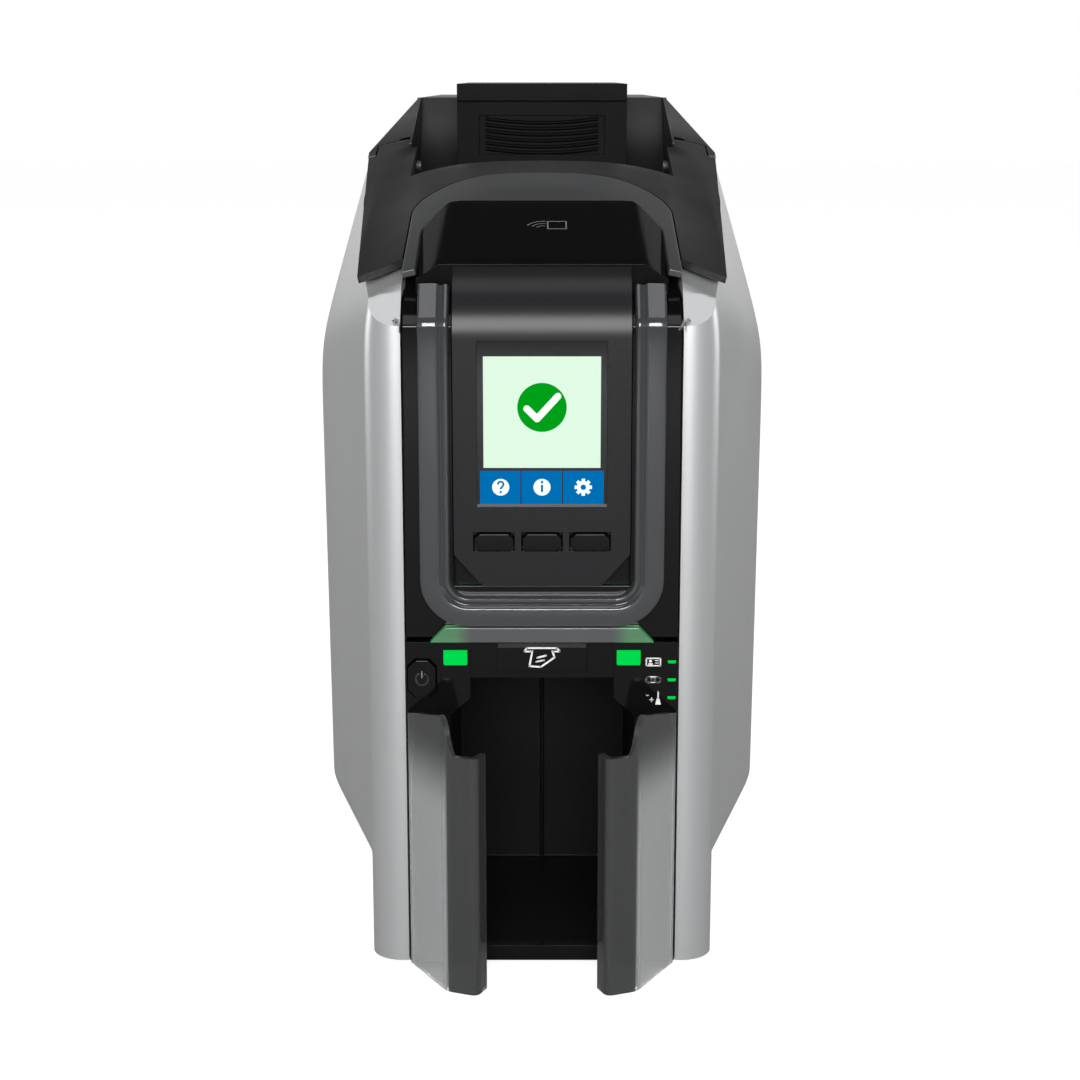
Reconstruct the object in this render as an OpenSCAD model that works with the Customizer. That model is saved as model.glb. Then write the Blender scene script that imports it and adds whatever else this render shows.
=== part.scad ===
// Desktop card printer: silver side panels, a charcoal lid and rear housing, clear card
// guides, a card feeder under its own cover, and the working parts inside.
// Millimetres.  X to the right, Y to the back, Z up, origin on the table under the middle.
// Parts are drawn with their depth counted from the flat front face, and place() then
// moves them into the object's own frame.

/* [Body] */
// Height of the whole printer
body_h = 277; // [275:0.5:279]
// Depth from the flat front face to the back
body_depth = 367; // [364:1:375]
// Half of the greatest width, at the top of the side ridge
ridge_x = 81.5; // [80.5:0.5:83]
// Half of the black front strip between the silver panels
strip_x = 42.6; // [42.5:0.1:42.8]
// Wall of the silver side panels
panel_wall = 2.4; // [2:0.1:2.6]
// Wall of the black and charcoal mouldings
shell_wall = 2.2; // [1.8:0.1:2.4]
// Height of the rubber feet
foot_h = 3; // [2.5:0.5:3.5]

/* [Front] */
// Top of the fixed front fascia, just under the lid
fascia_top = 108.8; // [108.2:0.1:109]
// How far the clear card guides stand out of the front face
guide_reach = 27; // [25:0.5:28]
// Thickness of the clear card guides
guide_wall = 1.8; // [1.5:0.1:2.2]
// Width of the display window
window_w = 39.6; // [37:0.2:40]
// Height of the display window
window_h = 50.8; // [49:0.2:51.6]
// Centre spacing of the three menu buttons
menu_pitch = 14.7; // [14.2:0.1:15]

/* [Card path] */
// Height of the card path above the table
path_z = 140; // [139.5:0.5:140.5]
// Diameter of the rubber rollers
roller_d = 18; // [17:0.5:18]
// Width of an identity card
card_w = 54; // [53.6:0.1:54.4]
// Length of an identity card
card_l = 85.6; // [85:0.1:86]
// Gear module of the roller drive
gear_module = 1; // [1:1:1]

/* [Hidden] */
$fn = 48;

// Half the object's depth, so that its middle comes over the origin
depth_middle = (body_depth - guide_reach) / 2;
// Larger than the whole object, for cutting blocks
reach = 300;

// Corners of the right side's facets: [half width, depth, height]
crease_x = 54.5;
crease_d = 7.9;
band_radius = 10;
band_axis = [crease_x - 9.8, band_radius];
crease_low = [crease_x, crease_d, 37];
chamfer_front = [crease_x, 72, 3];
chamfer_back = [ridge_x - 1.5, 166, 3];
shoulder_front = [crease_x, crease_d, 211];
ridge_top = [ridge_x, 131, 186];
ridge_back = [ridge_x - 5, 367, 186];
ridge_foot = [ridge_x - 3, 131, 0];
lid_corner = [64.8, 170, 252];
roof_corner = [49.5, 233, body_h - 5.6];
wing_inner = [43, 15, 223.5];
wing_tip = [56.9, 20, 220];
wing_front = 20;
band_front = 12.4;
strip_bend = [0, 0, 207];
strip_top = [0, 12, 221];

// A facet is [a point on it, its outward unit normal], from three of its corners
function facet(a, b, c) = let (n = cross(b - a, c - a)) [a, n / norm(n) * sign(n[0])];
side_facet = facet([crease_x, crease_d, 0], [crease_x, crease_d, 100], ridge_top);
side_wall = facet(ridge_top, ridge_back, ridge_foot);
low_chamfer = facet(crease_low, chamfer_front, chamfer_back);
front_shoulder = facet(shoulder_front, ridge_top, lid_corner);
back_shoulder = facet(ridge_top, ridge_back, lid_corner);
wing_top = facet(wing_inner, wing_tip, lid_corner);
roof_chamfer = facet(lid_corner, lid_corner + ridge_back - ridge_top, roof_corner);
wing_edge = facet(wing_tip, lid_corner, wing_tip + [0, 0, 10]);
bend_run = strip_top - strip_bend;
strip_slope = [strip_bend, [0, -bend_run[2], bend_run[1]] / norm(bend_run)];
cap_slope = facet([31, 12, 225], [29.4, 55, 240], [38.4, 8, 218.7]);

// Parting line between the silver panels and the charcoal parts above: [depth, height]
deck_end = 30;
parting_line = [[deck_end, 260], [deck_end, 210.5 + (deck_end + 10) * 39 / 180], [170, 249.5], [400, 249.5]];
parting_gap = 0.5;
parting_z = 249.5;
// Crown of the lid along the middle: [depth, height]
crown_line = [[0, 218], [12, 225], [55, 240], [75, 245], [95, 248.2], [115, 251], [150, 252.6]];

// Lid
lid_bottom = 110.2;
hinge_d = 168;
hinge_z = 247;
hinge_pin_d = 4;
rail_end_r = 9.9;
knuckle_end = 61.4;
trough_x = 48.5;
trough_floor = 234;
crest_d = 118;
apron_end = 158;
fit_gap = 0.05;
band_x = 42.8;
band_back = 95;
band_corner = 26;
cap_x = 38.4;
cap_front = 11.2;
cap_back = 58;
cap_corner = 13;
// How deep the cap reaches, down to the top of the display housing
cap_depth = 9;

// Display
panel_x = 27;
panel_face = -1.5;
panel_bottom = 127;
window_z = 177.3;
menu_z = 141;
menu_size = [12, 5.4];
button_gap = 0.35;
bezel_x = 37.4;
bezel_inner_x = 31.2;
bezel_lip_x = 28;
bezel_bottom = 114.8;
bezel_depth = 5;

// Rear housing and card feeder
back_joint = 353;
roof_lug_ds = [244, 324];
roof_lug_x = 58;
roof_z = body_h - 5.6;
ramp_front = 180;
ramp_back = 240;
cover_x = 33;
cover_front = 201;
cover_hinge_d = 339;
cover_hinge_z = 271.2;
bin_front = 206.9;
bin_wall = 1.6;
bin_base = path_z - 0.6;
opening_gap = 0.6;

// Drive: roller places along the path, and the frame plates beside them
roller_ds = [64, 120, 176, 232];
roller_z = path_z - roller_d / 2;
shaft_d = 6;
stud_d = 5;
roller_teeth = 28;
pinion_teeth = 18;
gear_x = 46;
gear_face = 5;
plate_x = 41;
plate_t = 2;
motor_d = roller_ds[1];
motor_z = roller_z - gear_module * (roller_teeth + pinion_teeth) / 2;

// Print unit in the lid
lid_plate_x = 34.5;
lid_plate_t = 1.5;
supply_at = [152, 196];
takeup_at = [84, 196];
supply_r = 17;
takeup_r = 12;
head_d = roller_ds[1];
head_z = path_z + 3.9;

module place() {
    translate([0, -depth_middle, 0]) children();
}

module both_sides() {
    children();
    mirror([1, 0, 0]) children();
}

// Block from one corner to the opposite one
module block(a, b) {
    translate(a) cube(b - a);
}

// Everything beyond a facet that is moved in by inset
module beyond(f, inset = 0) {
    n = f[1];
    translate(f[0] - inset * n)
        rotate([0, acos(n[2]), atan2(n[1], n[0])])
            translate([-reach, -reach, 0]) cube([2 * reach, 2 * reach, reach]);
}

// Round bar along X from x0 to x1, at depth d and height z
module bar(x0, x1, d, z, diameter) {
    translate([x0, d, z]) rotate([0, 90, 0]) cylinder(h = x1 - x0, d = diameter);
}

// Round bar along the depth
module peg(x, z, d0, d1, diameter) {
    translate([x, d0, z]) rotate([-90, 0, 0]) cylinder(h = d1 - d0, d = diameter);
}

// Side profile of [depth, height] points, carried from x0 to x1
module across(x0, x1, points) {
    translate([x0, 0, 0]) rotate([90, 0, 90]) linear_extrude(x1 - x0) polygon(points);
}

// Front profile of [x, height] points, carried from depth d0 to d1
module along(d0, d1, points) {
    translate([0, d1, 0]) rotate([90, 0, 0]) linear_extrude(d1 - d0) polygon(points);
}

// Plan outline of [x, depth] points, carried from z0 to z1
module upright(z0, z1, points) {
    translate([0, 0, z0]) linear_extrude(z1 - z0) polygon(points);
}

function arc(centre, r, a0, a1, steps = 8) =
    [for (i = [0:steps]) centre + r * [cos(a0 + (a1 - a0) * i / steps), sin(a0 + (a1 - a0) * i / steps)]];
function mirrored(points) = concat(points, [for (i = [len(points) - 1:-1:0]) [-points[i][0], points[i][1]]]);
function lowered(points, drop) = [for (p = points) [p[0], p[1] - drop]];
function lofted(points, top) = concat(points, [[points[len(points) - 1][0], top], [points[0][0], top]]);
function octagon(w, h, c) = mirrored([[w - c, -h], [w, c - h], [w, h - c], [w - c, h]]);
function shifted(points, by) = [for (p = points) p + by];

// Outline of a thin sheet that follows a path of points, t thick to the left of the path
function side_step(a, b, t) = t * [a[1] - b[1], b[0] - a[0]] / norm(b - a);
function sheet_corner(p, i, t) =
    let (n = len(p) - 1,
         u = side_step(p[max(i - 1, 0)], p[max(i, 1)], 1),
         v = side_step(p[min(i, n - 1)], p[min(i + 1, n)], 1))
    p[i] + t * (u + v) / (1 + u * v);
function sheet(p, t) = concat(p, [for (i = [len(p) - 1:-1:0]) sheet_corner(p, i, t)]);

// Involute spur gear outline: flank points run from the root circle to the tip circle
function inv_deg(rb, r) = r <= rb ? 0 : let (t = sqrt(pow(r / rb, 2) - 1)) t * 180 / PI - atan(t);
function gear_outline(teeth, play = 0.12) =
    let (m = gear_module, rp = m * teeth / 2, rb = rp * cos(20), rf = rp - 1.25 * m, ra = rp + 0.95 * m,
         half = 90 / teeth - play * 90 / (PI * rp) + inv_deg(rb, rp),
         rs = [rf, rb, rb + (ra - rb) * 0.3, rb + (ra - rb) * 0.65, ra])
    [for (k = [0:teeth - 1], s = [-1, 1], i = [0:4])
        let (r = s < 0 ? rs[i] : rs[4 - i], a = 360 * k / teeth + s * (half - inv_deg(rb, r)))
        r * [cos(a), sin(a)]];

// Gear on the drive side, around a shaft at depth d and height z
module drive_gear(d, z, teeth, phase, bore) {
    translate([gear_x, d, z]) rotate([90, 0, 90]) difference() {
        union() {
            linear_extrude(gear_face) rotate(phase) polygon(gear_outline(teeth));
            translate([0, 0, -1]) cylinder(h = gear_face + 1, d = bore + 5);
        }
        translate([0, 0, -2]) cylinder(h = gear_face + 4, d = bore);
    }
}

// The printer's outer form below the lid, with every face moved in by inset
module body_form(inset = 0) {
    difference() {
        block([-reach / 2, inset, foot_h], [reach / 2, body_depth - inset, roof_z - inset]);
        both_sides() {
            beyond(side_facet, inset);
            beyond(side_wall, inset);
            beyond(front_shoulder, inset);
            beyond(back_shoulder, inset);
            beyond(roof_chamfer, inset);
            intersection() {
                beyond(low_chamfer, inset);
                block([crease_x - inset, 0, -10], [reach, reach, 120]);
            }
            front_edge(inset);
        }
        beyond_slope(strip_slope, inset);
    }
}

// What the rounded upright front edge takes off a square corner
module front_edge(inset) {
    difference() {
        block([band_axis[0], -1, -1], [crease_x + 20, band_axis[1], reach]);
        translate([band_axis[0], band_axis[1], -2])
            cylinder(h = reach + 4, r = band_radius - inset, $fn = 96);
        block([crease_x - inset - 0.25, crease_d, -2], [crease_x + 30, reach, reach + 1]);
    }
}

// Everything beyond a facet that faces forward and up, across the whole width
module beyond_slope(f, inset) {
    turn = atan2(f[1][1], f[1][2]);
    translate(f[0] - inset * f[1]) rotate([-turn, 0, 0])
        translate([-reach, -reach, 0]) cube([2 * reach, 2 * reach, reach]);
}

// Charcoal top of the lid: under the crown line and both wing planes, inside the wing edges
module lid_form(inset = 0) {
    difference() {
        across(-reach / 2, reach / 2, concat(lowered(crown_line, inset), [[150, 150], [0, 150]]));
        both_sides() {
            beyond(wing_top, inset);
            beyond(wing_edge, inset);
        }
        block([-reach, -1, 0], [reach, 10 + inset, reach]);
    }
}

// What the front edges of the two wings leave out: they lean back towards the middle
module before_wings(inset) {
    upright(0, reach, [[-80, -1], [80, -1], [80, wing_front - 6.7 + inset], [0, wing_front + 16.5 + inset],
        [-80, wing_front - 6.7 + inset]]);
}

// Plan outline of the band's outside or the cap: a tongue with two round back corners
function tongue(x, front, back, r) =
    mirrored(concat([[x, front]], arc([x - r, back - r], r, 0, 90, 10)));

module base_pan() {
    outline = mirrored([[40, 3], [42.2, 6], [42.2, 17], [50, 22], [50, 70], [73, 164], [70, 364]]);
    color("dimgray") place() {
        upright(foot_h, foot_h + 3, outline);
        for (x = [-34, 34], d = [112, 300]) translate([x, d, foot_h + 3]) cylinder(h = 3, d = 9);
    }
}

module rubber_feet() {
    color("black") place()
        for (x = [-1, 1], at = [[40, 26], [58, 320]])
            translate([x * at[0], at[1], 0]) cylinder(h = foot_h, d = 15);
}

// Right silver panel: band, facets and shoulders in one moulding, open to the inside
module side_shell() {
    difference() {
        panel_form(0);
        difference() {
            panel_form(panel_wall);
            block([strip_x, 0, 0], [strip_x + 1.6, 16, 206]);
        }
        block([-reach, -1, -1], [strip_x, reach * 2, reach]);
        block([-reach, back_joint, -1], [reach, reach * 2, reach]);
        across(0, reach, lofted(parting_line, 400));
    }
}

// Body form with the sloping deck that runs in under the front of the lid's wings
module panel_form(inset) {
    difference() {
        body_form(inset);
        intersection() {
            beyond(wing_top, shell_wall + 0.7 + inset);
            block([0, -1, 0], [reach, deck_end + 1, reach]);
        }
    }
}

// Lugs inside a side panel: three stand on the base pan, two hold the rear top housing
module panel_lugs() {
    intersection() {
        body_form(panel_wall / 2);
        union() {
            for (at = [[46, 30], [64, 180], [64, 330]])
                block([at[0], at[1], foot_h + 3], [reach, at[1] + 10, foot_h + 9]);
            for (d = roof_lug_ds) block([roof_lug_x, d, 241], [reach, d + 8, 247]);
        }
    }
}

module side_panel() {
    side_shell();
    panel_lugs();
}

module right_side_panel() {
    color("silver") place() side_panel();
}

module left_side_panel() {
    color("silver") place() mirror([1, 0, 0]) side_panel();
}

fascia_opening = [[29.1, foot_h + 5], [29.1, 84.9], [22.3, 90.7], [22.3, 97]];
power_at = [-37.3, 97.2];
lamp_size = [7.4, 4.8];
lamp_at = [26.9, 103.8];

module front_fascia() {
    color("#1b1c1e") place() difference() {
        union() {
            along(0, 3, [[-42.4, foot_h], [42.4, foot_h], [42.4, fascia_top], [-42.4, fascia_top]]);
            for (x = [-42.4, 40.4]) block([x, 0, foot_h + 3], [x + 2, 24, fascia_top]);
        }
        along(-1, 4, mirrored(fascia_opening));
        block([-22.3, -1, 96.9], [22.3, 1.2, fascia_top + 1]);
        along(-1, 4, shifted(octagon(4.3 + button_gap, 6 + button_gap, 2.4), power_at));
        along(3, 6, shifted(octagon(5.4, 7.6, 2.4), power_at));
        both_sides() block([lamp_at[0] - 3.7, -1, 101.4], [lamp_at[0] + 3.7, 4, 106.2]);
        for (z = [102.4, 96.6, 90.8]) block([39.1, -1, z - 0.5], [41.7, 4, z + 0.5]);
    }
}

module card_slot_plate() {
    color("#101112") place()
        along(-0.4, 1.2, [[-13.9, 99.2], [13.9, 99.2], [13.9, 107.6], [-13.9, 107.6]]);
}

module exit_lamps() {
    color("limegreen") place() both_sides()
        block([lamp_at[0] - 3.7, -0.6, 101.4], [lamp_at[0] + 3.7, 3, 106.2]);
}

module status_lamps() {
    color("limegreen") place()
        for (z = [102.4, 96.6, 90.8]) block([39.1, -0.15, z - 0.5], [41.7, 3, z + 0.5]);
}

module power_button() {
    color("#222426") place() {
        along(-1.2, 4.2, shifted(octagon(4.3, 6, 2.4), power_at));
        along(3.1, 4.2, shifted(octagon(4.9, 7, 2.4), power_at));
    }
}

bin_x = card_w / 2 + 1.7;
bin_end = 80;

module output_bin() {
    floor_z = foot_h + 3;
    color("#141516") place() {
        difference() {
            block([-bin_x - bin_wall, 3, floor_z], [bin_x + bin_wall, bin_end, 96]);
            block([-bin_x, 2, floor_z + 2], [bin_x, bin_end - bin_wall, 97]);
        }
        block([-0.5, bin_end - bin_wall - 1, floor_z + 2], [0.5, bin_end - bin_wall, 96]);
    }
}

// Right clear guide in plan: outer panel, round nose and the lip that holds the cards back
guide_path = [[17.1, -20.9], [19.9, -guide_reach], [29.5, -23.3], [41.9, -1.6], [41.9, 0]];

guide_top = 86;
lip_top = 79.5;

module guide_shape() {
    difference() {
        upright(foot_h, 94, sheet(guide_path, guide_wall));
        across(0, 50, [[-40, 95], [-23, 92], [0, guide_top], [2, guide_top], [2, 100], [-40, 100]]);
        block([0, -40, lip_top], [guide_path[2][0] - guide_wall, 0, 100]);
    }
    block([37.6, -1.8, 30], [41.9, 0, 50]);
}

module right_card_guide() {
    color("lightgray", 0.5) place() guide_shape();
}

module left_card_guide() {
    color("lightgray", 0.5) place() mirror([1, 0, 0]) guide_shape();
}

port_z = 22;
screw_spots = [[-56, 60], [56, 60], [-52, 236], [52, 236]];

module rear_panel() {
    color("#2b2d30") place() difference() {
        body_form(0);
        difference() {
            body_form(shell_wall);
            both_sides() block([20, 357, foot_h + 3], [30, reach * 2, foot_h + 9]);
        }
        block([-reach, -1, -1], [reach, back_joint + 0.3, reach]);
        block([-reach, -1, parting_z], [reach, reach * 2, reach]);
        block([-56, 300, port_z - 0.2], [-37.6, 400, port_z + 14]);
        block([-56, 300, 43.8], [-43.2, 400, 56.2]);
        peg(46, 30, 300, 400, 12.4);
        for (x = [-30:10:30]) block([x - 3, 300, 90], [x + 3, 400, 93]);
        for (x = [-30:10:30]) block([x - 3, 300, 98], [x + 3, 400, 101]);
        for (s = screw_spots) {
            peg(s[0], s[1], 300, 400, 3.2);
            peg(s[0], s[1], body_depth - 1.4, 400, 6.4);
        }
    }
}

// Concave run-up behind the lid, from the trough floor to the roof: [depth, height]
ramp_rise = roof_z - trough_floor;
ramp_run = ramp_back - ramp_front;
ramp_r = (pow(ramp_run, 2) + pow(ramp_rise, 2)) / (2 * ramp_rise);
ramp_line = concat([[hinge_d - 5, trough_floor]],
    arc([ramp_front, trough_floor + ramp_r], ramp_r, -90, -90 + asin(ramp_run / ramp_r), 12));

module housing_form(inset = 0) {
    difference() {
        body_form(inset);
        both_sides() beyond(wing_top, inset);
        block([-reach, -1, -1], [reach, hinge_d + inset - 5, reach]);
    }
}

module trough_cheeks() {
    intersection() {
        housing_form(0.1);
        both_sides() block([trough_x, hinge_d + 4, trough_floor - 2], [trough_x + 2, ramp_back, reach]);
    }
}

module rear_top_housing() {
    color("#3f4246") place() difference() {
        union() {
            difference() {
                housing_form(0);
                housing_form(shell_wall);
                block([-reach, -1, -1], [reach, reach * 2, parting_z + parting_gap]);
            }
            across(-trough_x - 2, trough_x + 2,
                concat(lowered(ramp_line, 2), [for (i = [len(ramp_line) - 1:-1:0]) ramp_line[i]]));
            trough_cheeks();
            both_sides() hinge_lug();
            intersection() {
                housing_form(shell_wall / 2);
                both_sides() for (d = roof_lug_ds) block([roof_lug_x - 2, d, 242], [roof_lug_x, d + 8, 262]);
            }
            both_sides() block([cover_x + opening_gap, 330, roof_z - 6], [cover_x + 4.5, 344, roof_z - 1]);
        }
        across(-trough_x, trough_x, lofted(ramp_line, 400));
        both_sides() bar(trough_x + 0.8, knuckle_end + 0.5, hinge_d, hinge_z, 2 * (rail_end_r + 0.4));
        both_sides() bar(trough_x + 0.8, trough_x + 5, hinge_d, hinge_z, 2 * (rail_end_r + 1.8));
        block([-cover_x - opening_gap, bin_front - 3.4, 200], [cover_x + opening_gap, 349, 300]);
        bar(-cover_x - 4, cover_x + 4, cover_hinge_d, cover_hinge_z - 3.6, 3);
        both_sides() bar(30, 60, hinge_d, hinge_z, hinge_pin_d);
    }
}

// Lug that carries a hinge pin, at the side of the trough
module hinge_lug() {
    difference() {
        union() {
            bar(trough_x - 3.2, trough_x + 0.7, hinge_d, hinge_z, 11);
            block([trough_x - 3.2, hinge_d, hinge_z - 5.5], [trough_x + 0.7, hinge_d + 12, hinge_z + 5.5]);
            block([trough_x - 3.2, hinge_d - 4, trough_floor - 1], [trough_x + 0.7, hinge_d + 12, hinge_z]);
        }
        block([0, 0, 0], [100, hinge_d - 6, 300]);
    }
}

module lid_hinge_pins() {
    color("gainsboro") place() both_sides() bar(trough_x - 3.2, 61, hinge_d, hinge_z, hinge_pin_d);
}

module feeder_bin() {
    inner_x = card_w / 2 + 0.4;
    outer_x = inner_x + bin_wall;
    bin_floor = path_z + 1;
    bin_back = bin_front + card_l + 2 + 2 * bin_wall;
    color("#26282b") place() {
        difference() {
            block([-outer_x, bin_front, bin_base], [outer_x, bin_back, 262]);
            block([-inner_x, bin_front + bin_wall, bin_floor], [inner_x, bin_back - bin_wall, 263]);
            block([-15, 221, path_z - 2], [15, 243, path_z + 2]);
            block([0.1 - inner_x, bin_front - 1, bin_floor], [inner_x - 0.1, bin_front + 3, bin_floor + 1.3]);
            block([-8, bin_front - 1, 190], [8, bin_front + 3, 263]);
        }
    }
}

module card_weight() {
    half_x = card_w / 2 - 0.6;
    color("slategray") place() {
        block([-half_x, bin_front + 3, path_z + 1.3], [half_x, bin_front + card_l + 0.4, path_z + 6]);
        block([-5, bin_front + 3, path_z + 6], [5, bin_front + 8, path_z + 20]);
        block([-5, bin_front + 3, path_z + 17], [5, bin_front + 16, path_z + 20]);
    }
}

module feeder_hinge_rod() {
    color("gainsboro") place() bar(-cover_x - 4, cover_x + 4, cover_hinge_d, cover_hinge_z - 3.6, 3);
}

module feeder_cover() {
    skin = 2.4;
    axis_z = cover_hinge_z - 3.6;
    color("#2c2e31") place() difference() {
        union() {
            block([-cover_x, cover_front, body_h - 3.2], [cover_x, cover_hinge_d, body_h]);
            block([-cover_x, cover_front, body_h - 6.4], [cover_x, cover_front + 6, body_h]);
            block([-cover_x, cover_front + 3, 241], [cover_x, cover_front + 3 + skin, body_h - 1]);
            both_sides() {
                block([cover_x - skin, cover_front + 4, 262.6], [cover_x, cover_hinge_d - 6, body_h - 1]);
                bar(16, cover_x - 1, cover_hinge_d, axis_z, 7.4);
                block([16, cover_hinge_d - 3.7, axis_z], [cover_x - 1, cover_hinge_d + 3.7, body_h - 2]);
            }
            intersection() {
                bar(-cover_x, cover_x, cover_hinge_d, axis_z, 2 * (body_h - axis_z));
                block([-cover_x, cover_hinge_d - 1, axis_z], [cover_x, cover_hinge_d + 20, body_h]);
            }
        }
        bar(-60, 60, cover_hinge_d, axis_z, 3 + 2 * fit_gap);
        block([-24.5, cover_front, 250], [24.5, cover_front + 4.2, 265]);
    }
}

// Side plate of the fixed frame: [depth, height]
plate_outline = [[46, 116], [88, 104], [94, 6], [312, 6], [320, 20], [320, 168], [204, 168], [192, 150],
    [46, 150]];

module frame_plate() {
    difference() {
        across(plate_x, plate_x + plate_t, plate_outline);
        for (d = roller_ds) bar(plate_x - 1, plate_x + 3, d, roller_z, 10);
    }
}

module left_frame_plate() {
    color("lightsteelblue") place() mirror([1, 0, 0]) frame_plate();
}

module right_frame_plate() {
    color("lightsteelblue") place() difference() {
        frame_plate();
        for (i = [0:2]) bar(plate_x - 1, plate_x + 3, roller_ds[i] + 28, roller_z, stud_d);
    }
}

// Round bars between the two plates, and two flat ones that carry the feeder bin
module frame_ties() {
    color("silver") place() {
        for (at = [[112, 14], [304, 14], [310, 160], [204, 104]]) bar(-plate_x, plate_x, at[0], at[1], 8);
        for (d = [208, 286]) block([-plate_x, d, bin_base - 8], [plate_x, d + 8, bin_base]);
    }
}

module roller_bushes() {
    color("goldenrod") place() both_sides() for (d = roller_ds) difference() {
        union() {
            bar(plate_x, plate_x + 3, d, roller_z, 10);
            bar(plate_x - 1, plate_x, d, roller_z, 13);
        }
        bar(plate_x - 2, plate_x + 4, d, roller_z, shaft_d + 2 * fit_gap);
    }
}

module idler_studs() {
    color("silver") place() for (i = [0:2]) {
        bar(plate_x, gear_x + gear_face + 1, roller_ds[i] + 28, roller_z, stud_d);
        bar(plate_x + plate_t, gear_x - 1.2, roller_ds[i] + 28, roller_z, 8);
        bar(gear_x + gear_face + 0.2, gear_x + gear_face + 1, roller_ds[i] + 28, roller_z, 8);
    }
}

// Rubber roller on a steel shaft that runs through both frame plates
module roller(d, half_rubber = card_w / 2 + 1) {
    bar(-plate_x - 5, gear_x + gear_face + 0.4, d, roller_z, shaft_d);
    bar(-half_rubber, half_rubber, d, roller_z, roller_d);
}

module platen_roller() { color("#202020") place() roller(roller_ds[1]); }
module exit_roller() { color("#3a3a3a") place() roller(roller_ds[0]); }
module entry_roller() { color("#3a3a3a") place() roller(roller_ds[2]); }
module pick_roller() { color("#3a3a3a") place() roller(roller_ds[3], 13); }

module roller_gear(i) {
    color("ivory") place() drive_gear(roller_ds[i], roller_z, roller_teeth, 0, shaft_d);
}

module idler_gear(i) {
    color("ivory") place()
        drive_gear(roller_ds[i] + 28, roller_z, roller_teeth, 180 / roller_teeth, stud_d + 2 * fit_gap);
}

module platen_gear() { roller_gear(1); }
module exit_gear() { roller_gear(0); }
module entry_gear() { roller_gear(2); }
module pick_gear() { roller_gear(3); }
module idler_gear_1() { idler_gear(0); }
module idler_gear_2() { idler_gear(1); }
module idler_gear_3() { idler_gear(2); }

module motor_pinion() {
    color("goldenrod") place() {
        translate([gear_x, motor_d, motor_z]) rotate([90, 0, 90])
            linear_extrude(gear_face) polygon(gear_outline(pinion_teeth));
        bar(gear_x - 1, 60, motor_d, motor_z, stud_d);
    }
}

module drive_motor() {
    flange_x = gear_x + gear_face + 1.6;
    color("dimgray") place() difference() {
        union() {
            bar(flange_x, flange_x + 17.5, motor_d, motor_z, 35);
            block([flange_x, motor_d - 28, motor_z - 26], [flange_x + 1.6, motor_d + 28, motor_z + 12]);
            for (d = [motor_d - 23, motor_d + 23]) bar(plate_x + plate_t, flange_x, d, motor_z - 20, 7);
        }
        bar(flange_x - 1, 61, motor_d, motor_z, stud_d + 2 * fit_gap);
    }
}

board_x = -56;

module main_board() {
    color("darkgreen") place() {
        block([board_x, 124, 16], [board_x + 1.6, 352, 104]);
        for (d = [132, 300], z = [22, 98]) bar(board_x + 1.6, -plate_x - plate_t, d, z, 6);
        block([board_x + 1.6, 190, 50], [board_x + 4, 216, 76]);
        block([board_x + 1.6, 234, 60], [board_x + 3.4, 250, 72]);
        block([board_x + 1.6, 150, 30], [board_x + 9, 176, 40]);
        for (z = [60, 74, 88]) bar(board_x + 1.6, board_x + 11, 330, z, 8);
    }
}

module network_port() {
    at = [board_x + 1.6, 348, port_z];
    color("silver") place() difference() {
        block(at, at + [16, body_depth - 348.6, 13.6]);
        block(at + [2, 6, 1.4], at + [14, 30, 10]);
    }
}

module usb_port() {
    at = [board_x + 1.6, 350, 44];
    color("silver") place() difference() {
        block(at, at + [11, body_depth - 350.6, 12]);
        block(at + [1.2, 6, 1.2], at + [9.8, 30, 10.8]);
        block(at + [4, -1, 4], at + [7, 7, 7]);
    }
}

module power_inlet() {
    color("black") place() difference() {
        union() {
            peg(46, 30, 350, body_depth - 0.4, 12);
            block([37, body_depth - shell_wall - 1.6, 21], [55, body_depth - shell_wall, 39]);
        }
        peg(46, 30, 356, body_depth + 1, 8.6);
    }
}

module case_screws() {
    color("gray") place() for (s = screw_spots) {
        peg(s[0], s[1], body_depth - 1.4, body_depth - 0.3, 6);
        peg(s[0], s[1], body_depth - 12, body_depth - 1.4, 3);
    }
}

module lid_shell() {
    color("#46494d") place() difference() {
        union() {
            difference() {
                union() {
                    difference() {
                        lid_form(0);
                        difference() {
                            lid_form(shell_wall);
                            before_wings(shell_wall);
                        }
                        before_wings(0);
                        upright(0, 300, tongue(band_x + 0.4, 0, band_back + 0.4, band_corner + 0.4));
                    }
                    band_seat();
                }
                across(-reach, reach, [[-10, 0], [-10, 211], [170, 250], [200, 250], [200, 0]]);
                both_sides() under_wing();
                block([-trough_x, crest_d, 0], [trough_x, 300, 300]);
            }
            rail_ends();
            trough_lining();
        }
        both_sides() bar(40, 90, hinge_d, hinge_z, hinge_pin_d + 2 * fit_gap);
    }
}

// Everything lower than the wing's own skin, over the silver deck in front
module under_wing() {
    difference() {
        block([band_x, 0, 0], [reach, deck_end + 2, reach]);
        beyond(wing_top, shell_wall);
    }
}

// Flange under the edge of the lid's skin, which the grey band lies on
module band_seat() {
    difference() {
        lid_form(shell_wall);
        lid_form(shell_wall + 1.6);
        difference() {
            block([-reach, -1, 0], [reach, reach, reach]);
            upright(-1, reach + 1, tongue(band_x + 2, 0, band_back + 2, band_corner + 2));
        }
        upright(-1, 300, tongue(band_x - 3, 0, band_back - 3, band_corner - 3));
        block([-reach, -1, 0], [reach, deck_end + 2, reach]);
    }
}

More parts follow.
